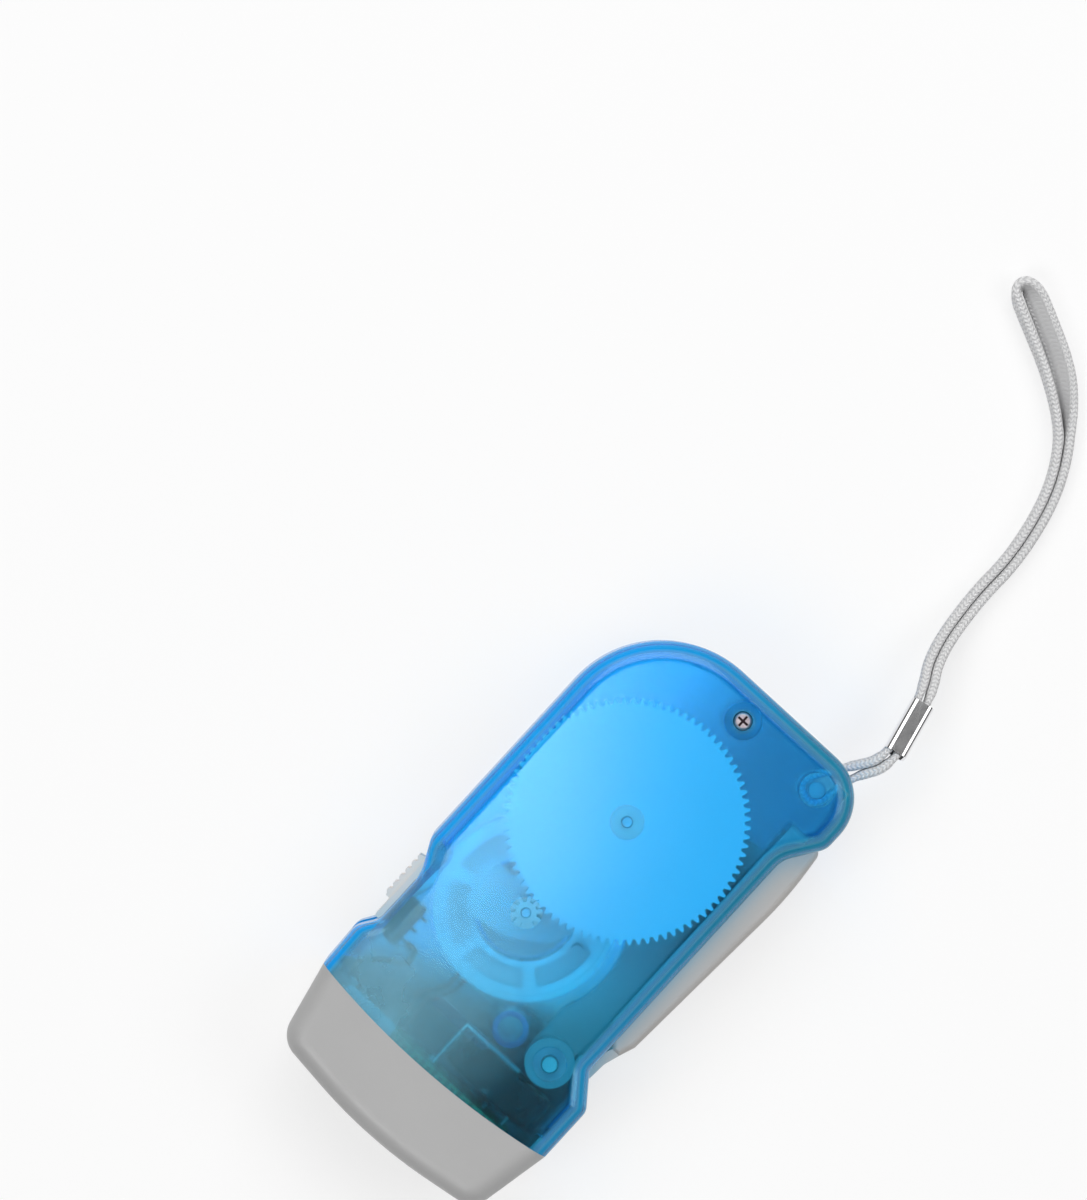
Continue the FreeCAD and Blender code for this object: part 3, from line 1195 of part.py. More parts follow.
switch_leg = switch_legs[2][0]
leg_tip = -leg_high + 1.4
board_face = size["board_rear"]
lamp_route = [
    (switch_leg, leg_tip, size["seam_height"]), (switch_leg, leg_tip + 2.0, size["seam_height"]),
    (43.9, -11.3, 19.0), (46.2, -14.8, 19.3), (48.6, -17.4, 19.3), (51.3, -17.8, 18.8),
    (board_face - 2.2, -14.6, 17.75), (board_face, -14.6, 17.75),
]
piece("lamp_wire", [wire(lamp_route, size["wire_radius"], 0.9)])

lead_low = size["can_low"] + size["can_sheet"] + 1.5
lead_start = rotor_at.x + size["bobbin_radius"] + 0.1
lead_solids = []
for side in (-1, 1):
    lead_y = rotor_at.y + side * 0.75
    route = [
        (lead_start, lead_y, lead_low), (lead_start + 4.0, lead_y, lead_low),
        (lead_start + 9.0, lead_y - 3.0, lead_low),
        (board_face - 2.5, lead_y - 2.2, lead_low + 1.2), (board_face, lead_y - 2.2, lead_low + 1.2),
    ]
    lead_solids.append(wire(route, size["lead_radius"], 2.0))
piece("coil_leads", lead_solids)


def biarc(start, tangent, end, end_tangent):
    """Two arcs that join two points and match the direction at each."""
    chord = end - start
    both = tangent + end_tangent
    spread = 2 * (tangent.dot(end_tangent) - 1)
    reach = chord.dot(both)
    if abs(spread) < 1e-9:
        length = chord.dot(chord) / (4 * chord.dot(tangent))
    else:
        length = (reach - math.sqrt(reach ** 2 - spread * chord.dot(chord))) / spread
    joint = (start + tangent * length + end - end_tangent * length) / 2
    second = tangent_arc(end, end_tangent * -1, joint)
    return [tangent_arc(start, tangent, joint), second]


def spring_path():
    """Fixed leg, clockwise turns rising round the pivot, moving leg."""
    radius = size["spring_radius"]
    quarters = round(size["spring_turns"] * 4)
    rise = size["spring_pitch"] / 4
    slope = math.atan2(rise, radius * math.pi / 2)
    points = []
    tangents = []
    for index in range(quarters + 1):
        angle = math.radians(180.0 - 90.0 * index)
        height = Vector(0, 0, size["spring_low"] + rise * index)
        points.append(pivot_at + polar(radius, 180.0 - 90.0 * index) + height)
        climb = 0.0 if index in (0, quarters) else math.sin(slope)
        flat = math.sqrt(1 - climb ** 2)
        tangents.append(Vector(math.sin(angle) * flat, -math.cos(angle) * flat, climb))
    fixed_end = Vector(points[0].x, locator_at.y, points[0].z)
    moving_end = Vector(nub_x - 1.3, points[-1].y, points[-1].z)
    edges = [Part.LineSegment(fixed_end, points[0]).toShape()]
    for index in range(quarters):
        edges += biarc(points[index], tangents[index], points[index + 1], tangents[index + 1])
    edges.append(Part.LineSegment(points[-1], moving_end).toShape())
    return Part.Wire(Part.sortEdges(edges)[0])


def least_gap(path, thickness, apart):
    """Least gap between parts of a sweep that lie more than a given length apart along it."""
    points = path.discretize(Distance=0.25)
    count = len(points)
    skip = int(apart * (count - 1) / path.Length)
    nearest = min((points[i] - points[j]).Length for i in range(count) for j in range(i + skip, count))
    return nearest - thickness


coil_path = spring_path()
spring = sweep(coil_path, round_section(coil_path, size["spring_wire"] / 2))
piece("return_spring", [spring])
half_turn = math.pi * size["spring_radius"]
print("return_spring least gap to itself %.2f" % least_gap(coil_path, size["spring_wire"], half_turn))


# Wrist strap: one flat tape round the post, out through the eye and the ferrule, and back
strap_rest = size["strap_width"] / 2 + 0.05
eye_level = size["seam_height"]
# centre of the two legs (x, y, z), half the distance between them, bend radius or None
strap_route = [
    (-32.7, 23.3, eye_level, 1.1, None),
    (-38.4, 27.2, eye_level - 0.3, 0.9, 3.4),
    (-51.6, 24.3, eye_level * 0.8, 0.9, None),
    (-57.9, 20.6, eye_level * 0.52, 0.9, None),
    (-70.1, 19.4, strap_rest + 0.3, 0.9, None),
    (-80.1, 19.8, strap_rest, 0.9, None),
    (-91.7, 17.6, strap_rest, 0.9, None),
    (-99.5, 13.8, strap_rest, 1.0, None),
    (-104.4, 9.6, strap_rest, 1.3, None),
    (-109.8, 2.2, strap_rest, 1.8, None),
    (-113.5, -5.4, strap_rest, 2.2, None),
]
strap_end = Vector(-117.3, -13.2, strap_rest)
ferrule_reach = 1.8


def aside(direction):
    """Unit vector to the left of a direction, level."""
    return unit(Vector(-direction.y, direction.x, 0))


def strap_corners():
    """Corners of the tape's middle line: from the ferrule round the post, out to the fold and back."""
    post = Vector(post_at.x, post_at.y, eye_level)
    stations = [post] + [Vector(x, y, z) for x, y, z, half, bend in strap_route] + [strap_end]
    near, far = [], []
    for i, (x, y, z, half, bend) in enumerate(strap_route, 1):
        side = aside(unit(stations[i] - stations[i - 1]) + unit(stations[i + 1] - stations[i])) * half
        near.append((stations[i] + side, bend))
        far.append((stations[i] - side, bend))
    wrap = size["post_radius"] + size["strap_tape"] / 2 + size["fit"]
    out = unit(Vector(stations[1].x - post.x, stations[1].y - post.y, 0))
    side = aside(out) * wrap
    round_post = [
        (post + out * 1.5 + side, 4.0), (post - out * wrap + side, wrap),
        (post - out * wrap - side, wrap), (post + out * 1.5 - side, 4.0),
    ]
    last = unit(strap_end - stations[-2])
    tip = strap_end - last * (size["strap_tape"] / 2)
    half = strap_route[-1][3]
    fold = [(tip - aside(last) * half, half), (tip + aside(last) * half, half)]
    along = unit(near[2][0] - near[1][0])
    seam = near[1][0] + along * (ferrule_reach + size["ferrule_length"] / 2)
    start = (seam - along * 0.2, None)
    end = (seam + along * 0.2, None)
    return [start] + near[1::-1] + round_post + far + fold + near[:1:-1] + [end]


strap_path, strap_radii = run_path(strap_corners())
first_edge = strap_path.Edges[0]
strap_start = first_edge.valueAt(first_edge.FirstParameter)
across = aside(first_edge.tangentAt(first_edge.FirstParameter)) * (size["strap_tape"] / 2)
upward = Vector(0, 0, size["strap_width"] / 2)
corners = [strap_start + across + upward, strap_start + across - upward,
           strap_start - across - upward, strap_start - across + upward]
tape = Part.makePolygon(corners + corners[:1])
strap = sweep(strap_path, tape, upright=True)
piece("wrist_strap", [strap])
section_area = size["strap_width"] * size["strap_tape"]
print("wrist_strap radii", ["%.1f" % radius for radius in strap_radii])
print("wrist_strap length %.1f volume %.1f section times length %.1f"
      % (strap_path.Length, strap.Volume, section_area * strap_path.Length))

ferrule = new_body("strap_ferrule")
ferrule_wide = size["strap_legs"] + size["strap_tape"] + size["fit"]
ferrule_tall = size["strap_width"] + size["fit"]
sheet_thick = size["ferrule_sheet"]
ferrule_outer = box_loop(-ferrule_wide / 2 - sheet_thick, ferrule_wide / 2 + sheet_thick,
                         -ferrule_tall / 2 - sheet_thick, ferrule_tall / 2 + sheet_thick, 1.0)
ferrule_inner = box_loop(-ferrule_wide / 2, ferrule_wide / 2, -ferrule_tall / 2, ferrule_tall / 2, 0.2)
add(ferrule, "tube", [ferrule_outer, ferrule_inner], "0", "ferrule_length", "YZ_Plane")
ferrule_line = Vector(*strap_route[2][:3]) - Vector(*strap_route[1][:3])
ferrule_start = Vector(*strap_route[1][:3]) + unit(ferrule_line) * ferrule_reach
ferrule_turn = FreeCAD.Rotation(unit(ferrule_line), aside(ferrule_line), Vector(), "XYZ")
ferrule.Placement = FreeCAD.Placement(ferrule_start, ferrule_turn)

document.recompute()
for item in document.Objects:
    if "Invalid" in item.State or "Error" in item.State:
        raise RuntimeError("%s did not build" % item.Label)
pieces = [item for item in document.Objects if item.TypeId in ("PartDesign::Body", "Part::Feature")]
os.makedirs("parts", exist_ok=True)
for item in pieces:
    if item.Shape.isNull() or not item.Shape.isValid():
        raise RuntimeError("%s is not a valid solid" % item.Label)
for item in pieces:
    item.Shape.exportStep("parts/%s.step" % item.Label)
print("%d pieces written" % len(pieces))
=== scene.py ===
import math

import bmesh
import bpy
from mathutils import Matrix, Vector


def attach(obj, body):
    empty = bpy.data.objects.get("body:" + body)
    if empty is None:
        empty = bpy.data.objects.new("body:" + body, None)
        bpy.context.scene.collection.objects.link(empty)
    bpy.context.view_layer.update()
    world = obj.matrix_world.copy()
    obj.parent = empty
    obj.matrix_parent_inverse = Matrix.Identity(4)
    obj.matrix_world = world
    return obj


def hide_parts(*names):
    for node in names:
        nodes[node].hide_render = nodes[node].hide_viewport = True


# A squeeze-lever dynamo torch, lying on its back face. Metres, in the frame of the CAD model.

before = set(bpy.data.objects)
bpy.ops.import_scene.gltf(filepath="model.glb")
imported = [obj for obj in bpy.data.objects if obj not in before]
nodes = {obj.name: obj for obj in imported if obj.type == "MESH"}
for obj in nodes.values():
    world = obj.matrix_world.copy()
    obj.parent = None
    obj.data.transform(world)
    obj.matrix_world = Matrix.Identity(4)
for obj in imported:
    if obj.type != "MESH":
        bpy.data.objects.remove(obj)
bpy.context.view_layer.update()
mm = 0.001
print("frame loaded:", len(nodes), "nodes")


# Camera, straight above the picture's middle

picture = {
    "middle": (-18.54, -36.59),  # mm, the point under the picture's centre
    "level": 13.5,  # mm, where a millimetre is 5.72 pixels
    "height": 209.8,  # mm seen from the picture's lower to its upper edge
    "turn": 132.5,  # degrees from +X to the picture's right
    "distance": 1030.0,  # mm
    "sensor": 36.0,
    "farthest": 10.0,  # m that the camera sees
}


def makeCamera(look):
    data = bpy.data.cameras.new("camera")
    data.sensor_width = look["sensor"]
    data.lens = data.sensor_width * look["distance"] / look["height"]
    data.clip_end = look["farthest"]
    camera = bpy.data.objects.new("camera", data)
    bpy.context.scene.collection.objects.link(camera)
    x, y = look["middle"]
    camera.location = Vector((x, y, look["level"] + look["distance"])) * mm
    camera.rotation_euler = (0.0, 0.0, math.radians(look["turn"]))
    bpy.context.scene.camera = camera


makeCamera(picture)


# Shader maths: a socket that adds its own Math nodes, and a material that holds them

class Signal:
    def __init__(self, paint, socket):
        self.paint = paint
        self.socket = socket

    def maths(self, operation, first, second):
        return self.paint.node("Math", {"operation": operation}, {0: first, 1: second})

    def __add__(self, other):
        return self.maths("ADD", self, other)

    def __sub__(self, other):
        return self.maths("SUBTRACT", self, other)

    def __rsub__(self, other):
        return self.maths("SUBTRACT", other, self)

    def __mul__(self, other):
        return self.maths("MULTIPLY", self, other)

    def __truediv__(self, other):
        return self.maths("DIVIDE", self, other)

    def __pow__(self, other):
        return self.maths("POWER", self, other)

    __radd__ = __add__
    __rmul__ = __mul__


class Paint:
    def __init__(self, name, colour, roughness, **finish):
        self.material = bpy.data.materials.new(name)
        self.material.use_nodes = True
        self.tree = self.material.node_tree
        self.surface = self.tree.nodes["Principled BSDF"]
        self.output = self.tree.nodes["Material Output"]
        self.surface.inputs["Base Color"].default_value = rgba(*colour)
        self.surface.inputs["Roughness"].default_value = roughness
        for key, value in finish.items():
            socket = key.replace("_", " ").title().replace("Ior", "IOR")
            self.surface.inputs[socket].default_value = value

    def feed(self, socket, value):
        if isinstance(value, Signal):
            self.tree.links.new(value.socket, socket)
        else:
            socket.default_value = value

    def set(self, socket, value):
        self.feed(self.surface.inputs[socket], value)

    def node(self, kind, settings, sockets, output=0):
        made = self.tree.nodes.new("ShaderNode" + kind)
        for name, value in settings.items():
            setattr(made, name, value)
        for name, value in sockets.items():
            self.feed(made.inputs[name], value)
        return Signal(self, made.outputs[output])

    def shader(self):
        return Signal(self, self.surface.outputs[0])

    def place(self):
        return self.node("TexCoord", {}, {}, "Object")

    def axes(self, vector):
        return [self.node("SeparateXYZ", {}, {0: vector}, axis) for axis in "XYZ"]

    def noise(self, size, detail):  # size: width of a grain, mm
        sockets = {"Vector": self.place(), "Scale": 1.0 / (size * mm), "Detail": detail}
        return self.node("TexNoise", {}, sockets)

    def wave(self, operation, value, width=0.0):  # SINE, ABSOLUTE, or PINGPONG up to a width
        return self.node("Math", {"operation": operation}, {0: value, 1: width})

    def ramp(self, value, ends, unit=1.0):  # 0 at the first end, 1 at the second
        low, high = ends
        sockets = {"Value": value, "From Min": low * unit, "From Max": high * unit}
        return self.node("MapRange", {"clamp": True}, sockets)

    def blend(self, factor, first, second):
        return self.node("Mix", {"data_type": "RGBA"}, {0: factor, 6: first, 7: second}, 2)

    def highest(self, signals):
        reached = signals[0]
        for signal in signals[1:]:
            reached = reached.maths("MAXIMUM", reached, signal)
        return reached

    def rays(self, *kinds):
        return self.highest([self.node("LightPath", {}, {}, "Is %s Ray" % kind) for kind in kinds])

    def lightThrough(self, shader, tint):  # lamps and the surroundings light what is behind clear plastic
        clear = self.node("BsdfTransparent", {}, {"Color": rgba(*tint)})
        shown = self.node("MixShader", {}, {0: self.rays("Shadow", "Diffuse"), 1: shader, 2: clear})
        self.feed(self.output.inputs["Surface"], shown)
        return self.material

    def bump(self, height, depth):  # depth: mm
        self.set("Normal", self.node("Bump", {}, {"Strength": 1.0, "Distance": depth * mm, "Height": height}))


def rgba(red, green, blue):
    return (red, green, blue, 1.0)


# Clear housing: azure at the switch side, teal at the lever side, hazy over the lamp end, with painted shade
# on the back shell behind the cells and in the tail, and a darker tint over the cells

shellLook = {
    "through": (0.12, 0.65, 1.0),  # what one wall of a broad face lets through
    "throughHeadShaded": (0.12, 0.60, 0.78),  # the same over the cells, darker and greener there as painted shade
    "headFrom": (27.0, 46.0),  # mm of x + headLean * y, where that comes in
    "headLean": 0.8,
    "throughRim": (0.06, 0.74, 0.93),  # side walls
    "throughBosses": (0.80, 0.96, 0.98),  # bosses and ribs inside
    "lampTint": 0.4,  # power of the tint that lamp light takes with it
    "mirrored": (0.60, 0.88, 1.0),  # tint of what the plastic mirrors
    "refraction": 1.46,
    "outer": 0.13,  # roughness of the polished outside
    "inner": 0.17,  # roughness of the inside of the broad faces
    "waves": (11.0, 2.0),  # mm and detail
    "waveDepth": 0.01,
    "middle": 13.5,  # mm, halfway between the broad faces
    "innerFrom": (1.2, 1.5),  # mm below the nearer broad face, where its inside begins
    "deepFrom": (1.65, 1.9),  # the same, where bosses and side walls begin
    "roundFrom": (0.05, 0.8),  # and the rounded edge
    "roundUpTo": (1.55, 1.4),
    "corner": (-12.2, -2.75),  # mm, centre of the large tail corner
    "cornerReach": (17.3, 16.9),  # mm from there to where the rounded edge starts
    "leverEdge": 20.7,  # mm, the same at the lever edge
    "leverBlend": (0.0, 0.5),
    "bulge": 4.4,  # mm that the lever edge's two bulges stand out
    "tailBulge": (-15.0, -18.0),  # mm along x, where they rise
    "headBulge": (38.0, 42.0),
}
# milky part of the plastic: colours, and its shares in the clear plastic; its dark colour is painted shade
milkLook = {
    "roughness": 0.25,
    "switchEdge": (0.003, 0.41, 0.98),
    "leverEdge": (0.004, 0.25, 0.41),
    "edgeFrom": (-12.0, 24.0),  # mm of y - edgeLean * x, from switch edge to lever edge
    "edgeLean": 0.3,
    "edgeShare": 0.68,
    "bosses": (0.12, 0.42, 0.50),
    "bossShare": 0.24,
    "haze": (0.36, 0.65, 0.74),  # on the front shell, from the generator to the lamps
    "hazeShare": 0.32,
    "hazeAlong": (20.0, 44.0),  # mm along x and y, where it comes in
    "hazeAcross": (15.0, -7.0),
    "hazeClouds": (9.0, 6.0),
    "hazeLeast": 0.4,
    "dark": (0.02, 0.05, 0.06),  # painted shade on the back shell, behind the cells and in the tail
    "back": (14.0, 12.0),  # mm along z, from front to back shell
    "cellShadeShare": 0.90,
    "cellFrom": (37.0, 47.0),  # mm of x + cellLean * y
    "cellLean": 0.35,
    "tailShadeShare": 0.36,
    "tailAlong": (8.0, -10.0),
    "tailAcross": (-9.0, 9.0),
}


def shellRegions(paint, look, x, y, z):  # masks of the bosses, of the rim and of the faces' inside
    middle = look["middle"] * mm
    depth = middle - paint.wave("ABSOLUTE", z - middle)  # below the nearer broad face
    offset = [paint.highest([centre * mm - axis, 0.0 * axis]) for centre, axis in zip(look["corner"], (x, y))]
    reach = (offset[0] * offset[0] + offset[1] * offset[1]) ** 0.5
    bulges = paint.ramp(x, look["tailBulge"], mm) + paint.ramp(x, look["headBulge"], mm)
    leverEdge = bulges * (look["bulge"] * mm) + look["leverEdge"] * mm
    inside = paint.ramp(reach, look["cornerReach"], mm) * paint.ramp(leverEdge - y, look["leverBlend"], mm)
    deep = paint.ramp(depth, look["deepFrom"], mm)
    rounded = paint.ramp(depth, look["roundFrom"], mm) * paint.ramp(depth, look["roundUpTo"], mm)
    rim = paint.highest([rounded, deep]) * (1.0 - inside)
    return deep * inside, rim, paint.ramp(depth, look["innerFrom"], mm)


def shellMilk(paint, look, gloss, boss, rim, x, y, z):  # the milky shader and its share
    back = paint.ramp(z, look["back"], mm)
    # painted shade: a dark milk on the back shell behind the cells and in the tail, standing for the shade
    # inside the housing
    tail = paint.ramp(y, look["tailAcross"], mm) * paint.ramp(x, look["tailAlong"], mm)
    cellShade = paint.ramp(x + y * look["cellLean"], look["cellFrom"], mm)
    dark = paint.highest([cellShade * look["cellShadeShare"], tail * look["tailShadeShare"]])
    dark = dark * back * (1.0 - rim) * (1.0 - boss)
    clouds = look["hazeLeast"] + paint.noise(*look["hazeClouds"])
    haze = paint.ramp(x, look["hazeAlong"], mm) * (1.0 - back)
    haze = haze * paint.ramp(y, look["hazeAcross"], mm) * clouds
    toLever = paint.ramp(y - x * look["edgeLean"], look["edgeFrom"], mm)
    edge = paint.blend(toLever, rgba(*look["switchEdge"]), rgba(*look["leverEdge"]))
    colour = paint.blend(back, rgba(*look["haze"]), rgba(*look["dark"]))
    colour = paint.blend(rim, colour, edge)
    colour = paint.blend(boss, colour, rgba(*look["bosses"]))
    sockets = {"Base Color": colour, "Roughness": look["roughness"], "Specular Tint": gloss}
    milk = paint.node("BsdfPrincipled", {}, sockets)
    shares = [rim * look["edgeShare"], boss * look["bossShare"], dark, haze * look["hazeShare"]]
    return milk, paint.highest(shares)


def makeShellPaint(look, milky):
    gloss = rgba(*look["mirrored"])
    paint = Paint("blueShell", look["through"], look["outer"],
                  transmission_weight=1.0, ior=look["refraction"], specular_tint=gloss)
    x, y, z = paint.axes(paint.place())
    boss, rim, inner = shellRegions(paint, look, x, y, z)
    # painted shade: the tint turns darker and greener over the cells
    overCells = paint.ramp(x + y * look["headLean"], look["headFrom"], mm)
    tint = paint.blend(overCells, rgba(*look["through"]), rgba(*look["throughHeadShaded"]))
    tint = paint.blend(rim, tint, rgba(*look["throughRim"]))
    paint.set("Base Color", paint.blend(boss, tint, rgba(*look["throughBosses"])))
    paint.set("Roughness", look["outer"] + inner * (look["inner"] - look["outer"]))
    paint.bump(paint.noise(*look["waves"]), look["waveDepth"])
    milk, milkShare = shellMilk(paint, milky, gloss, boss, rim, x, y, z)
    hazy = paint.node("MixShader", {}, {0: milkShare, 1: paint.shader(), 2: milk})
    return paint.lightThrough(hazy, [channel ** look["lampTint"] for channel in look["through"]])


# Moulded plastics

plasticLook = {
    "mottle": (18.0, 4.0),  # mm and detail
    "mottled": (0.93, 1.05),  # times the colour
    "scuffs": (5.0, 6.0),
    "scuffedFrom": (0.45, 0.75),
    "polish": 0.05,  # less roughness where there is no scuff
    "scuffed": 0.12,  # more where there is
    "grain": (0.35, 3.0),
    "depth": 0.02,
}


def makePlasticPaint(name, colour, roughness, look=plasticLook):
    paint = Paint(name, colour, roughness)
    darker, lighter = [rgba(*[min(1.0, channel * times) for channel in colour]) for times in look["mottled"]]
    paint.set("Base Color", paint.blend(paint.noise(*look["mottle"]), darker, lighter))
    scuffs = paint.ramp(paint.noise(*look["scuffs"]), look["scuffedFrom"])
    paint.set("Roughness", roughness - look["polish"] + scuffs * look["scuffed"])
    paint.bump(paint.noise(*look["grain"]), look["depth"])
    return paint.material


# Metals: pins, plates, spring, wires, reflector, ferrule, screw and winding

metalLook = {
    "stain": (4.0, 5.0),  # mm and detail
    "stained": 0.85,  # times the colour
    "least": 0.7,  # times the roughness, where there is no stain
    "dull": 0.03,
    "brush": (0.25, 2.0),
}
screwLook = {
    "steel": (0.72, 0.66, 0.66),
    # painted shade in the cross recess of the head
    "recessShade": (0.05, 0.03, 0.035),
    "worn": ((0.40, 0.28, 0.31), (0.85, 0.76, 0.78)),
    "topFrom": (24.75, 25.0),  # mm, from the recess to the top of the head
    "wear": (0.8, 4.0),
    "roughness": 0.4,
    "grain": (0.5, 3.0),
    "depth": 0.01,
}
windingLook = {
    "copper": (0.80, 0.36, 0.14),
    "roughness": 0.3,
    "pitch": 0.22,  # mm from turn to turn
    "depth": 0.04,
}


def makeMetalPaint(name, colour, roughness, brushed=0.0, look=metalLook):
    paint = Paint(name, colour, roughness, metallic=1.0)
    stain = paint.noise(*look["stain"])
    least = roughness * look["least"]
    paint.set("Roughness", least + stain * (least + look["dull"]))
    darker = rgba(*[channel * look["stained"] for channel in colour])
    paint.set("Base Color", paint.blend(stain, darker, rgba(*colour)))
    if brushed:
        paint.bump(paint.noise(*look["brush"]), brushed)
    return paint.material


def makeScrewPaint(look):
    paint = Paint("screwSteel", look["steel"], look["roughness"], metallic=1.0)
    height = paint.axes(paint.place())[2]
    dark, bright = look["worn"]
    worn = paint.blend(paint.noise(*look["wear"]), rgba(*dark), rgba(*bright))
    # the recess, below the top of the head, is painted dark as shade
    top = paint.ramp(height, look["topFrom"], mm)
    paint.set("Base Color", paint.blend(top, rgba(*look["recessShade"]), worn))
    paint.bump(paint.noise(*look["grain"]), look["depth"])
    return paint.material


def makeWindingPaint(look):
    paint = Paint("copperWinding", look["copper"], look["roughness"], metallic=1.0)
    height = paint.axes(paint.place())[2]
    paint.bump(paint.wave("SINE", height * (2 * math.pi / (look["pitch"] * mm))), look["depth"])
    return paint.material


# Clear lamps and lens, and the lamp board

clearLook = {
    "waveDetail": 2.0,
    "depth": 0.01,
}
boardLook = {
    "green": (0.02, 0.16, 0.06),
    "tracks": ((0.03, 0.22, 0.09), (0.05, 0.33, 0.14)),
    "perMetre": 180.0,
    "trackWidth": 0.06,
    "roughness": 0.35,
}


def makeClearPaint(name, colour, roughness, refraction, waves, lit=None, look=clearLook):  # waves: mm
    paint = Paint(name, colour, roughness, transmission_weight=1.0, ior=refraction)
    paint.bump(paint.noise(waves, look["waveDetail"]), look["depth"])
    return paint.lightThrough(paint.shader(), lit) if lit else paint.material


def makeBoardPaint(look):
    paint = Paint("boardGreen", look["green"], look["roughness"])
    second, joint = look["tracks"]
    paint.set("Base Color", paint.node("TexBrick", {"offset": 0.5}, {
        "Vector": paint.place(), "Scale": look["perMetre"], "Mortar Size": look["trackWidth"],
        "Color1": rgba(*look["green"]), "Color2": rgba(*second), "Mortar": rgba(*joint),
    }))
    return paint.material


# Woven tape: zigzag plaits outside, a plain lining in the middle of the inner face

weaveLook = {
    "thread": (0.92, 0.92, 0.92),
    # painted shade between the plaits, mixed with random fuzz
    "shade": (0.54, 0.54, 0.55),
    "lining": (0.54, 0.54, 0.545),
    "liningFrom": (0.39, 0.42),  # of the way round, from the middle of the outer face
    "liningRelief": 0.7,  # less relief there
    "roughness": 0.85,
    "sheen": 0.25,
    "sheenRoughness": 0.5,
    "pitch": 0.8,  # mm along the tape from plait to plait
    "rows": 8,  # plaits round the tape
    "plump": 0.6,  # power of a plait's height along the tape, and across it
    "plumpAcross": 0.5,
    "valley": 0.4,  # height between two rows
    "fuzz": (0.15, 2.0),
    "fuzzTone": 0.25,
    "fuzzRelief": 0.3,
    "depth": 0.16,
}


def makeWeavePaint(look):
    paint = Paint("strapWeave", look["thread"], look["roughness"],
                  sheen_weight=look["sheen"], sheen_roughness=look["sheenRoughness"])
    u, v, _ = paint.axes(paint.node("UVMap", {"uv_map": "tape"}, {}))
    along = u / (look["pitch"] * mm) + paint.wave("PINGPONG", v * look["rows"], 0.5)
    plait = paint.wave("SINE", along * (2 * math.pi)) * 0.5 + 0.5
    row = paint.wave("PINGPONG", v * look["rows"] * 2, 0.5) * 2.0
    height = plait ** look["plump"] * (look["valley"] + (1.0 - look["valley"]) * row ** look["plumpAcross"])
    fuzz = paint.noise(*look["fuzz"])
    # the thread is painted darker as shade where a plait is low, and varies at random with the fuzz
    tone = height * (1.0 - look["fuzzTone"]) + fuzz * look["fuzzTone"]
    lining = paint.ramp(paint.wave("ABSOLUTE", v - 0.5), look["liningFrom"])
    woven = paint.blend(tone, rgba(*look["shade"]), rgba(*look["thread"]))
    paint.set("Base Color", paint.blend(lining, woven, rgba(*look["lining"])))
    relief = height * (1.0 - lining * look["liningRelief"]) + fuzz * look["fuzzRelief"]
    paint.bump(relief, look["depth"])
    return paint.material


# Which piece gets which finish

# colour and roughness; for brushed metals the brushing's depth (mm); for the clear parts the index of
# refraction, the waves' width (mm) and the tint of the light that comes through
finishes = {
    "blueShell": makeShellPaint(shellLook, milkLook),
    "greyPlastic": makePlasticPaint("greyPlastic", (0.44, 0.44, 0.44), 0.42),
    "gripPlastic": makePlasticPaint("gripPlastic", (0.455, 0.44, 0.43), 0.42),
    "slidePlastic": makePlasticPaint("slidePlastic", (0.76, 0.71, 0.665), 0.45),
    "whiteNylon": makePlasticPaint("whiteNylon", (0.91, 0.92, 0.95), 0.45),
    "bridgePlastic": makePlasticPaint("bridgePlastic", (0.86, 0.87, 0.87), 0.45),
    "bobbinPlastic": makePlasticPaint("bobbinPlastic", (0.74, 0.74, 0.73), 0.45),
    "blackParts": makePlasticPaint("blackParts", (0.02, 0.02, 0.022), 0.4),
    "cellSleeve": makePlasticPaint("cellSleeve", (0.012, 0.013, 0.015), 0.3),
    "wireDark": makePlasticPaint("wireDark", (0.02, 0.02, 0.02), 0.4),
    "wireRed": makePlasticPaint("wireRed", (0.45, 0.03, 0.02), 0.4),
    "ferrite": makePlasticPaint("ferrite", (0.62, 0.63, 0.65), 0.5),
    "platedSteel": makeMetalPaint("platedSteel", (0.84, 0.84, 0.83), 0.45, 0.01),
    "brightSteel": makeMetalPaint("brightSteel", (0.66, 0.65, 0.64), 0.34, 0.005),
    "springSteel": makeMetalPaint("springSteel", (0.55, 0.55, 0.56), 0.28),
    "tinnedWire": makeMetalPaint("tinnedWire", (0.75, 0.75, 0.74), 0.35),
    "reflectorMetal": makeMetalPaint("reflectorMetal", (0.90, 0.90, 0.91), 0.06),
    "chrome": makeMetalPaint("ferruleChrome", (0.86, 0.86, 0.87), 0.08),
    "screwSteel": makeScrewPaint(screwLook),
    "copper": makeWindingPaint(windingLook),
    "lampClear": makeClearPaint("lampClear", (0.97, 0.98, 1.0), 0.03, 1.5, 2.0),
    "clearLens": makeClearPaint("clearLens", (0.97, 0.98, 0.99), 0.02, 1.49, 6.0, (0.98, 0.99, 0.99)),
    "board": makeBoardPaint(boardLook),
    "weave": makeWeavePaint(weaveLook),
}
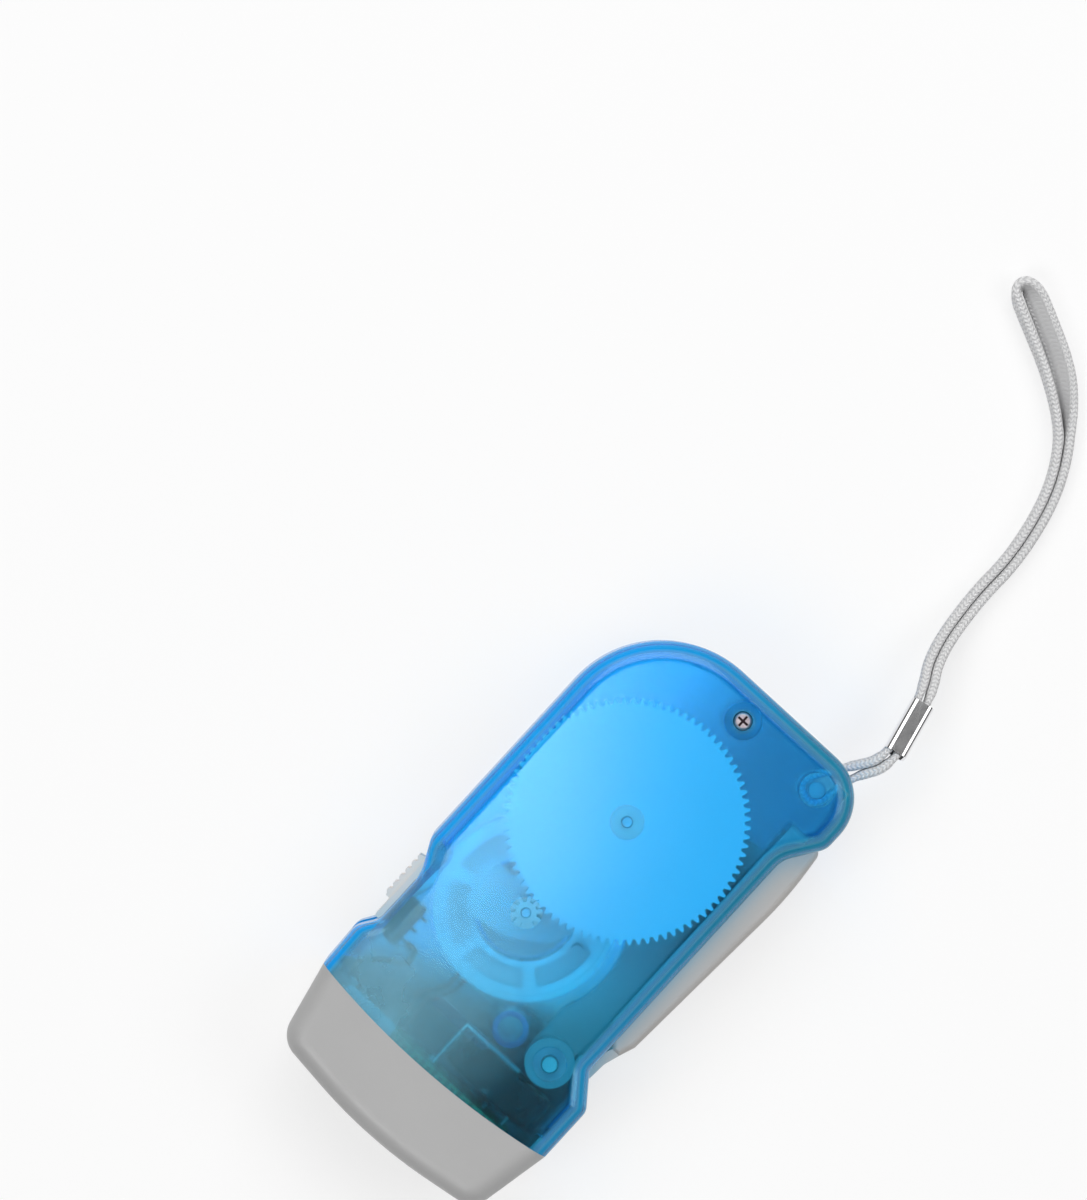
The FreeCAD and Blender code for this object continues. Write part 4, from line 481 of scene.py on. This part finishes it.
nodeFinish = {
    "blueShell": ["front_shell", "back_shell"],
    "greyPlastic": ["lamp_hood"],
    "gripPlastic": ["squeeze_lever"],
    "slidePlastic": ["switch_slider"],
    "whiteNylon": ["large_gear", "ratchet_pawls", "drive_pinion", "gear_washer"],
    "bridgePlastic": ["bearing_bridge", "rotor_hub"],
    "bobbinPlastic": ["coil_bobbin"],
    "blackParts": ["switch_body", "rectifier_diodes"],
    "cellSleeve": ["storage_cells"],
    "wireDark": ["lamp_wire"],
    "wireRed": ["coil_leads"],
    "ferrite": ["rotor_magnet"],
    "platedSteel": ["stator_can", "stator_top_plate", "cell_tabs"],
    "brightSteel": ["gear_axle", "rotor_axle", "lever_pivot_pin"],
    "springSteel": ["return_spring"],
    "tinnedWire": ["led_leads"],
    "reflectorMetal": ["reflector"],
    "chrome": ["strap_ferrule"],
    "screwSteel": ["housing_screw"],
    "copper": ["stator_coil"],
    "lampClear": ["lamp_leds"],
    "clearLens": ["front_lens"],
    "board": ["led_board"],
    "weave": ["wrist_strap"],
}
for finish, names in nodeFinish.items():
    for name in names:
        nodes[name].data.materials.clear()
        nodes[name].data.materials.append(finishes[finish])
print("finishes given:", sum(len(names) for names in nodeFinish.values()), "nodes")


# Wrist strap: one woven tape from the ferrule round the post, out to the loop's fold and back

strap = {
    "width": 4.5,  # mm, upright
    "tape": 1.4,  # mm, thickness where it is pressed in the ferrule and round the post
    "loose": 1.78,  # mm, thickness elsewhere
    # mm along x, where it becomes so thick: past the ferrule, before the ferrule, outside the eye
    "swells": ((-50.8, -52.6), (-39.2, -37.6), (-32.4, -33.8)),
    "flats": (0.45, 0.75),  # powers of the section's outline, across and up
    "lean": (56.0, -6.0),  # degrees, how far the legs of the open loop lean over
    "leans": (-101.5, -111.0),  # mm along x, where they start to and where they have
    "crosses": (6.0, -4.0),  # mm past the fold, where the first lean goes over into the second
    "post": (-26.2, 20.5, 13.5),  # mm, the strap post in the tail
    "postRadius": 1.4,
    "postGap": 0.1,  # mm between post and tape
    "postRun": 1.5,  # mm from the post's middle to where the tape leaves it
    "ferruleReach": 1.8,  # mm from the route's second stop to the ferrule
    "ferruleLength": 10.0,
    "seamGap": 0.2,  # mm from the middle of the ferrule to each end of the tape
    "length": 231.0,
    "end": (-116.9, -12.6, 2.3),  # mm, where the loop folds back
    "step": 0.35,  # mm between rings of the mesh
    "around": 20,  # faces round the tape
    "smoothness": 24,  # points of the line between two corners
}
# centre of the two legs (x, y, z) and half the distance between them, mm
strapRoute = [
    (-32.7, 23.3, 13.5, 0.92), (-38.4, 27.2, 13.2, 0.9), (-51.6, 24.3, 10.8, 0.9), (-57.9, 20.6, 7.02, 0.9),
    (-70.1, 19.4, 2.6, 0.9), (-80.1, 19.8, 2.3, 0.9), (-91.7, 17.6, 2.3, 0.9), (-99.5, 13.8, 2.3, 0.92),
    (-104.4, 9.6, 2.3, 1.12), (-109.8, 2.2, 2.3, 1.6), (-113.3, -5.0, 2.3, 1.7),
]


def aside(direction):
    return Vector((-direction.y, direction.x, 0.0)).normalized()


def strapCorners(look, route):
    post, end = Vector(look["post"]), Vector(look["end"])
    stops = [post] + [Vector(stop[:3]) for stop in route] + [end]
    nearLeg = []
    farLeg = []
    for i, stop in enumerate(route, 1):
        ahead = (stops[i] - stops[i - 1]).normalized() + (stops[i + 1] - stops[i]).normalized()
        side = aside(ahead) * stop[3]
        nearLeg.append(stops[i] + side)
        farLeg.append(stops[i] - side)
    wrap = look["postRadius"] + look["tape"] / 2 + look["postGap"]
    out = Vector((stops[1].x - post.x, stops[1].y - post.y, 0.0)).normalized()
    side = aside(out) * wrap
    leaves = post + out * look["postRun"]
    behind = post - out * wrap
    roundPost = [leaves + side, behind + side, behind - side, leaves - side]
    last = (end - stops[-2]).normalized()
    tip = end - last * (look["tape"] / 2)
    half = aside(last) * route[-1][3]
    along = (nearLeg[2] - nearLeg[1]).normalized()
    seam = nearLeg[1] + along * (look["ferruleReach"] + look["ferruleLength"] / 2)
    gap = along * look["seamGap"]
    outward = [seam - gap] + nearLeg[1::-1] + roundPost + farLeg
    return outward + [tip - half, tip + half] + nearLeg[:1:-1] + [seam + gap]


def smoothLine(name, corners, smoothness):
    curve = bpy.data.curves.new(name, "CURVE")
    curve.dimensions = "3D"
    curve.resolution_u = smoothness
    spline = curve.splines.new("NURBS")
    spline.points.add(len(corners) - 1)
    for point, corner in zip(spline.points, corners):
        point.co = (*(corner * mm), 1.0)
    spline.order_u = 3
    spline.use_endpoint_u = True
    holder = bpy.data.objects.new(name, curve)
    mesh = bpy.data.meshes.new_from_object(holder)
    points = [vertex.co.copy() for vertex in mesh.vertices]
    bpy.data.objects.remove(holder)
    bpy.data.meshes.remove(mesh)
    return points


def evenly(points, step):  # the same line with its points a step apart, and its length
    reached = [0.0]
    for first, second in zip(points, points[1:]):
        reached.append(reached[-1] + (second - first).length)
    length = reached[-1]
    count = max(2, round(length / step))
    spaced = []
    k = 0
    for i in range(count + 1):
        target = length * i / count
        while k < len(reached) - 2 and reached[k + 1] < target:
            k += 1
        part = (target - reached[k]) / max(reached[k + 1] - reached[k], 1e-9)
        spaced.append(points[k].lerp(points[k + 1], part))
    return spaced, length


def eased(value, ends):  # 0 before the first end, 1 past the second, smooth between
    part = min(1.0, max(0.0, (value - ends[0]) / (ends[1] - ends[0])))
    return part * part * (3.0 - 2.0 * part)


def tapeEdge(look, thick, turn):  # (across, up) in mm, at a share of the way round the section
    c, s = math.cos(turn * 2 * math.pi), math.sin(turn * 2 * math.pi)
    flatAcross, flatUp = look["flats"]
    across = math.copysign(abs(c) ** flatAcross, c) * thick / 2
    return across, math.copysign(abs(s) ** flatUp, s) * look["width"] / 2


def tapePoint(look, line, i, fold, turn):  # a point on the tape, at the line's point i
    ahead = line[min(i + 1, len(line) - 1)] - line[max(i - 1, 0)]
    x = line[i].x / mm
    past, before, outside = [eased(x, ends) for ends in look["swells"]]
    thick = look["tape"] + (look["loose"] - look["tape"]) * (past + before * outside)
    across, up = tapeEdge(look, thick, turn)
    outward = eased((i - fold) * look["step"], look["crosses"])  # 1 on the leg that runs out to the fold
    outLean, backLean = look["lean"]
    lean = math.radians(outLean * outward + backLean * (1.0 - outward)) * eased(x, look["leans"])
    out = across * math.cos(lean) - up * math.sin(lean)
    rise = across * math.sin(lean) + up * math.cos(lean)
    return line[i] + aside(ahead) * (out * mm) + Vector((0.0, 0.0, rise * mm))


def makeStrap(look, route):
    line = smoothLine("strapLine", strapCorners(look, route), look["smoothness"])
    line, length = evenly(line, look["step"] * mm)
    count = len(line)
    fold = min(range(count), key=lambda i: line[i].x)
    mesh = bpy.data.meshes.new("strapTape")
    bm = bmesh.new()
    uv = bm.loops.layers.uv.new("tape")
    bmesh.ops.create_grid(bm, x_segments=count - 1, y_segments=look["around"], size=0.5)
    for face in bm.faces:
        for loop in face.loops:
            loop[uv].uv = ((loop.vert.co.x + 0.5) * length, loop.vert.co.y + 0.5)
    for vertex in bm.verts:
        i = round((vertex.co.x + 0.5) * (count - 1))
        vertex.co = tapePoint(look, line, i, fold, vertex.co.y + 0.5)
    bmesh.ops.remove_doubles(bm, verts=bm.verts, dist=1e-6)
    bmesh.ops.holes_fill(bm, edges=[edge for edge in bm.edges if edge.is_boundary], sides=0)
    bmesh.ops.recalc_face_normals(bm, faces=bm.faces)
    for face in bm.faces:
        face.smooth = True
    bm.to_mesh(mesh)
    bm.free()
    mesh.materials.append(finishes["weave"])
    piece = bpy.data.objects.new("strapTape", mesh)
    bpy.context.scene.collection.objects.link(piece)
    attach(piece, "housing")
    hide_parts("wrist_strap")
    print("strap tape: %.1f mm long, %d rings" % (length / mm, count))


makeStrap(strap, strapRoute)


# Table, lamps and surroundings

studio = {
    "table": (0.97, 0.97, 0.97),
    "tableRoughness": 0.8,
    "tableHalf": 2.0,  # m from the middle to each edge
    "below": 0.05,  # mm, so that the back shell's flat face doesn't lie in the table's
    "white": (0.99, 0.99, 0.99),
    "whiteShare": 0.7,  # of the table's look that the torch doesn't shade
    "whiteThrough": 0.4,  # the same where it is seen through the plastic
    "surroundings": 0.15,  # white all round, as it lights the torch
    "whiteSky": {"Camera": 0.97, "Transmission": 0.5, "Glossy": 0.18},  # the same as those rays see them
    "lamps": [  # place (m), width and height (m), watts
        ((-0.53, -0.49, 0.95), (1.00, 0.75), 7.6),  # bright edge round the large tail corner
        ((-0.48, 0.53, 0.95), (0.62, 0.60), 3.3),  # the same at the small tail corner
        ((0.60, -0.05, 0.90), (0.60, 0.50), 3.5),  # from the lamp end
        ((0.014, -0.020, 0.98), (0.14, 0.05), 0.26),  # soft sheen over the switch side of the broad face
    ],
}


def makeTablePaint(look):
    paint = Paint("tableTop", look["table"], look["tableRoughness"])
    white = paint.node("Emission", {}, {"Color": rgba(*look["white"]), "Strength": 1.0})
    direct = paint.rays("Camera", "Glossy") * look["whiteShare"]
    seen = paint.highest([direct, paint.rays("Transmission") * look["whiteThrough"]])
    shown = paint.node("MixShader", {}, {0: seen, 1: paint.shader(), 2: white})
    paint.feed(paint.output.inputs["Surface"], shown)
    return paint.material


def makeTable(look):
    bm = bmesh.new()
    bmesh.ops.create_grid(bm, x_segments=1, y_segments=1, size=look["tableHalf"])
    mesh = bpy.data.meshes.new("table")
    bm.to_mesh(mesh)
    bm.free()
    mesh.materials.append(makeTablePaint(look))
    table = bpy.data.objects.new("table", mesh)
    table.location.z = -look["below"] * mm
    bpy.context.scene.collection.objects.link(table)


def makeSurroundings(look):
    world = bpy.data.worlds.new("surroundings")
    world.use_nodes = True
    tree = world.node_tree
    sky = tree.nodes["Background"]
    sky.inputs["Color"].default_value = rgba(1.0, 1.0, 1.0)
    sky.inputs["Strength"].default_value = look["surroundings"]
    for kind, strength in look["whiteSky"].items():
        path = tree.nodes.new("ShaderNodeLightPath")
        white = tree.nodes.new("ShaderNodeBackground")
        mixed = tree.nodes.new("ShaderNodeMixShader")
        white.inputs["Color"].default_value = rgba(1.0, 1.0, 1.0)
        white.inputs["Strength"].default_value = strength
        tree.links.new(path.outputs["Is %s Ray" % kind], mixed.inputs[0])
        tree.links.new(sky.outputs[0], mixed.inputs[1])
        tree.links.new(white.outputs[0], mixed.inputs[2])
        sky = mixed
    tree.links.new(sky.outputs[0], tree.nodes["World Output"].inputs["Surface"])
    bpy.context.scene.world = world


def makeLamps(look):
    for index, (place, (width, height), watts) in enumerate(look["lamps"], 1):
        data = bpy.data.lights.new("softbox%d" % index, "AREA")
        data.shape = "RECTANGLE"
        data.size = width
        data.size_y = height
        data.energy = watts
        lamp = bpy.data.objects.new(data.name, data)
        bpy.context.scene.collection.objects.link(lamp)
        lamp.location = place
        lamp.rotation_euler = (-Vector(place)).to_track_quat("-Z", "Y").to_euler()


bpy.context.scene.view_settings.view_transform = "Standard"
makeTable(studio)
makeSurroundings(studio)
makeLamps(studio)
print("studio ready:", len(studio["lamps"]), "lamps")
